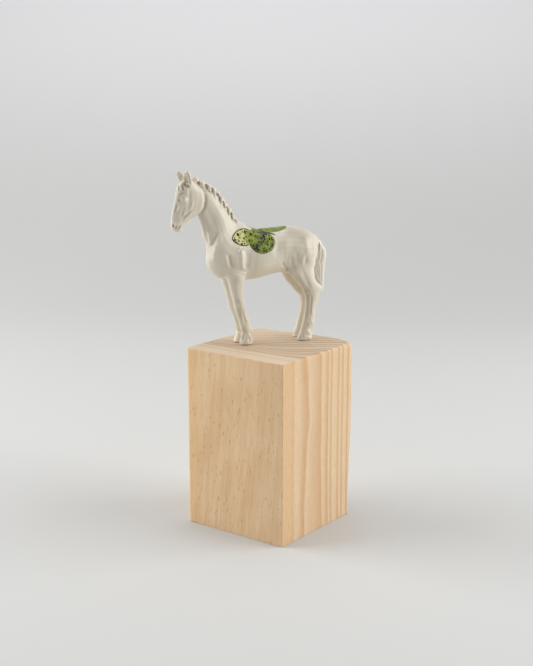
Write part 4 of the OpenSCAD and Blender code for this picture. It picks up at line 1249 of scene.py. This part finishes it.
def box_skin(size):
    """A box's six faces as one welded net of quads, from its corner."""
    lines = [cushioned(v) for v in size]
    index, points, quads = {}, [], []

    def corner(key):
        if key not in index:
            index[key] = len(points)
            points.append([line[k] for line, k in zip(lines, key)])
        return index[key]

    last = [len(v) - 1 for v in lines]
    for axis in range(3):
        u, v = [m for m in range(3) if m != axis]
        for end in (0, last[axis]):
            for a in range(last[u]):
                for b in range(last[v]):
                    loop = []
                    for da, db in ((0, 0), (1, 0), (1, 1), (0, 1)):
                        key = [0, 0, 0]
                        key[axis], key[u], key[v] = end, a + da, b + db
                        loop.append(corner(tuple(key)))
                    flip = (end == 0) != (axis == 1)
                    quads.append(loop[::-1] if flip else loop)
    return np.array(points), quads


def pine_block():
    """The post as sawn: a touch wider at the top, its arrises worn by unlike amounts."""
    size = np.array([BLOCK_W, BLOCK_W, BLOCK_H])
    co, quads = box_skin(size)
    a, d, z = co.T

    # worn radius: the left arris, the far right one, the rim over the right face
    far_left = bell(a, 0, 6)*bell(d, 0, 6)
    far_right = bell(a, BLOCK_W, 9)*bell(d, BLOCK_W, 9)
    rim = smooth_step(z, 96, 106)*smooth_step(a, 60, 68)*smooth_step(d, 6, 30)
    plan = 0.35 + 1.9*far_left + 1.4*far_right + 1.2*rim
    upright = 0.35 + 2.0*far_right*smooth_step(z, 70, 105) + 1.5*rim
    radius = np.stack([plan, plan, upright], axis=1)
    inner = np.clip(co, radius, size - radius)
    away = (co - inner)/radius
    co = inner + away/np.maximum(np.linalg.norm(away, axis=1), 1.0)[:, None]*radius

    # the sawn sizes, and the rough line of the saw along the top rim
    a, d, z = co.T.copy()
    a = a - (1.7 + 0.1*z/BLOCK_H)*(1 - a/BLOCK_W)*(1 - 0.8*d/BLOCK_W)
    d = d + 2.7*smooth_step(z, 6, 62)*smooth_step(d, 20, BLOCK_W)*smooth_step(a, 10, 60)
    back_rim = smooth_step(z, 80, BLOCK_H)*smooth_step(d, 50, BLOCK_W)
    z = z + 0.8*back_rim*smooth_step(a, 4, 26)*(1 - 0.4*smooth_step(a, 55, BLOCK_W))
    ragged = 0.16*np.sin(a*0.9) + 0.12*np.sin(a*2.3 + 1.7) + 0.08*np.sin(a*0.37 + 0.6)
    z = z - np.where(z > BLOCK_H - 1.0, (0.12 + ragged.clip(-0.12, 0.3))*bell(d, 0, 1.4), 0)
    plan = (a - BLOCK_W/2)[:, None]*BLOCK_ACROSS + (BLOCK_W/2 - d)[:, None]*BLOCK_DEEP
    return make_object("pine_block", plan + z[:, None]*np.array(UP) - ORIGIN, quads)


dress(pine_block(), "wood_block", pine())


# The stage
def camera():
    """The eye whose picture seen() works out."""
    sensor, picture_high = 36, 666
    data = bpy.data.cameras.new("camera")
    data.sensor_width = sensor
    data.lens = PICTURE_SCALE*sensor/picture_high
    data.clip_start = 0.01
    data.clip_end = 20
    ob = linked("camera", data)
    rot = Matrix((VIEW_RIGHT, VIEW_UP, VIEW_BACK)).transposed()
    ob.matrix_world = Matrix.Translation(Vector(EYE*MM)) @ rot.to_4x4()
    bpy.context.scene.camera = ob


def sweep(back):
    """Floor and backdrop in one curved sheet behind the block, in metres."""
    t = Tree("backdrop")
    height = t.node("ShaderNodeSeparateXYZ")
    t.put(height.inputs[0], t.objects())
    cloud = t.noise(t.objects(), 3, 2, 0.5)
    # painted light: the sheet darker on the floor and paler up the backdrop
    rise = t.plus(t.ramp(height.outputs[2], 0.0, 0.4, end=0.94), t.times(cloud, 0.06))
    mat = t.finish(t.over(srgb(206, 206, 204), (248, 248, 250), rise), 0.9, 0.1)
    across = Vector((-back.y, back.x, 0))
    bend, radius, steps, top, half_width = -0.6, 0.9, 16, 3.5, 3.0
    profile = [(2.5, 0.0), (0.4, 0.0), (bend, 0.0)]
    for k in range(1, steps + 1):
        a = math.pi/2*k/steps
        profile.append((bend - radius*math.sin(a), radius - radius*math.cos(a)))
    profile.append((bend - radius, top))
    verts = [back*u + across*s + UP*z for u, z in profile for s in (-half_width, half_width)]
    faces = [(2*k, 2*k + 1, 2*k + 3, 2*k + 2) for k in range(len(profile) - 1)]
    mesh = bpy.data.meshes.new("sweep")
    mesh.from_pydata(verts, [], faces)
    mesh.update()
    mesh.polygons.foreach_set("use_smooth", [True]*len(mesh.polygons))
    mesh.materials.append(mat)
    linked("sweep", mesh)


def softbox(name, place, power, size=1.0, aim=(0, 0, 0.12)):
    """A square area light in metres and watts, facing the object."""
    data = bpy.data.lights.new(name, "AREA")
    data.shape = "RECTANGLE"
    data.size = data.size_y = size
    data.energy = power
    ob = linked(name, data)
    ob.location = place
    ob.rotation_euler = (place - Vector(aim)).to_track_quat("Z", "Y").to_euler()


camera()
right = Vector(VIEW_RIGHT)
back = Vector((VIEW_BACK[0], VIEW_BACK[1], 0)).normalized()
sweep(back)
world = bpy.data.worlds.new("world")
world.use_nodes = True
world.node_tree.nodes["Background"].inputs[0].default_value = (1, 1, 1, 1)
world.node_tree.nodes["Background"].inputs[1].default_value = 0.3
bpy.context.scene.world = world
softbox("left", -right - back*0.1 + UP*0.55, 11.0)
softbox("right", right + back*0.1 + UP*0.55, 10.5)
softbox("top", -back*0.25 + UP*1.35, 4.7)
bpy.context.scene.view_settings.view_transform = "Standard"
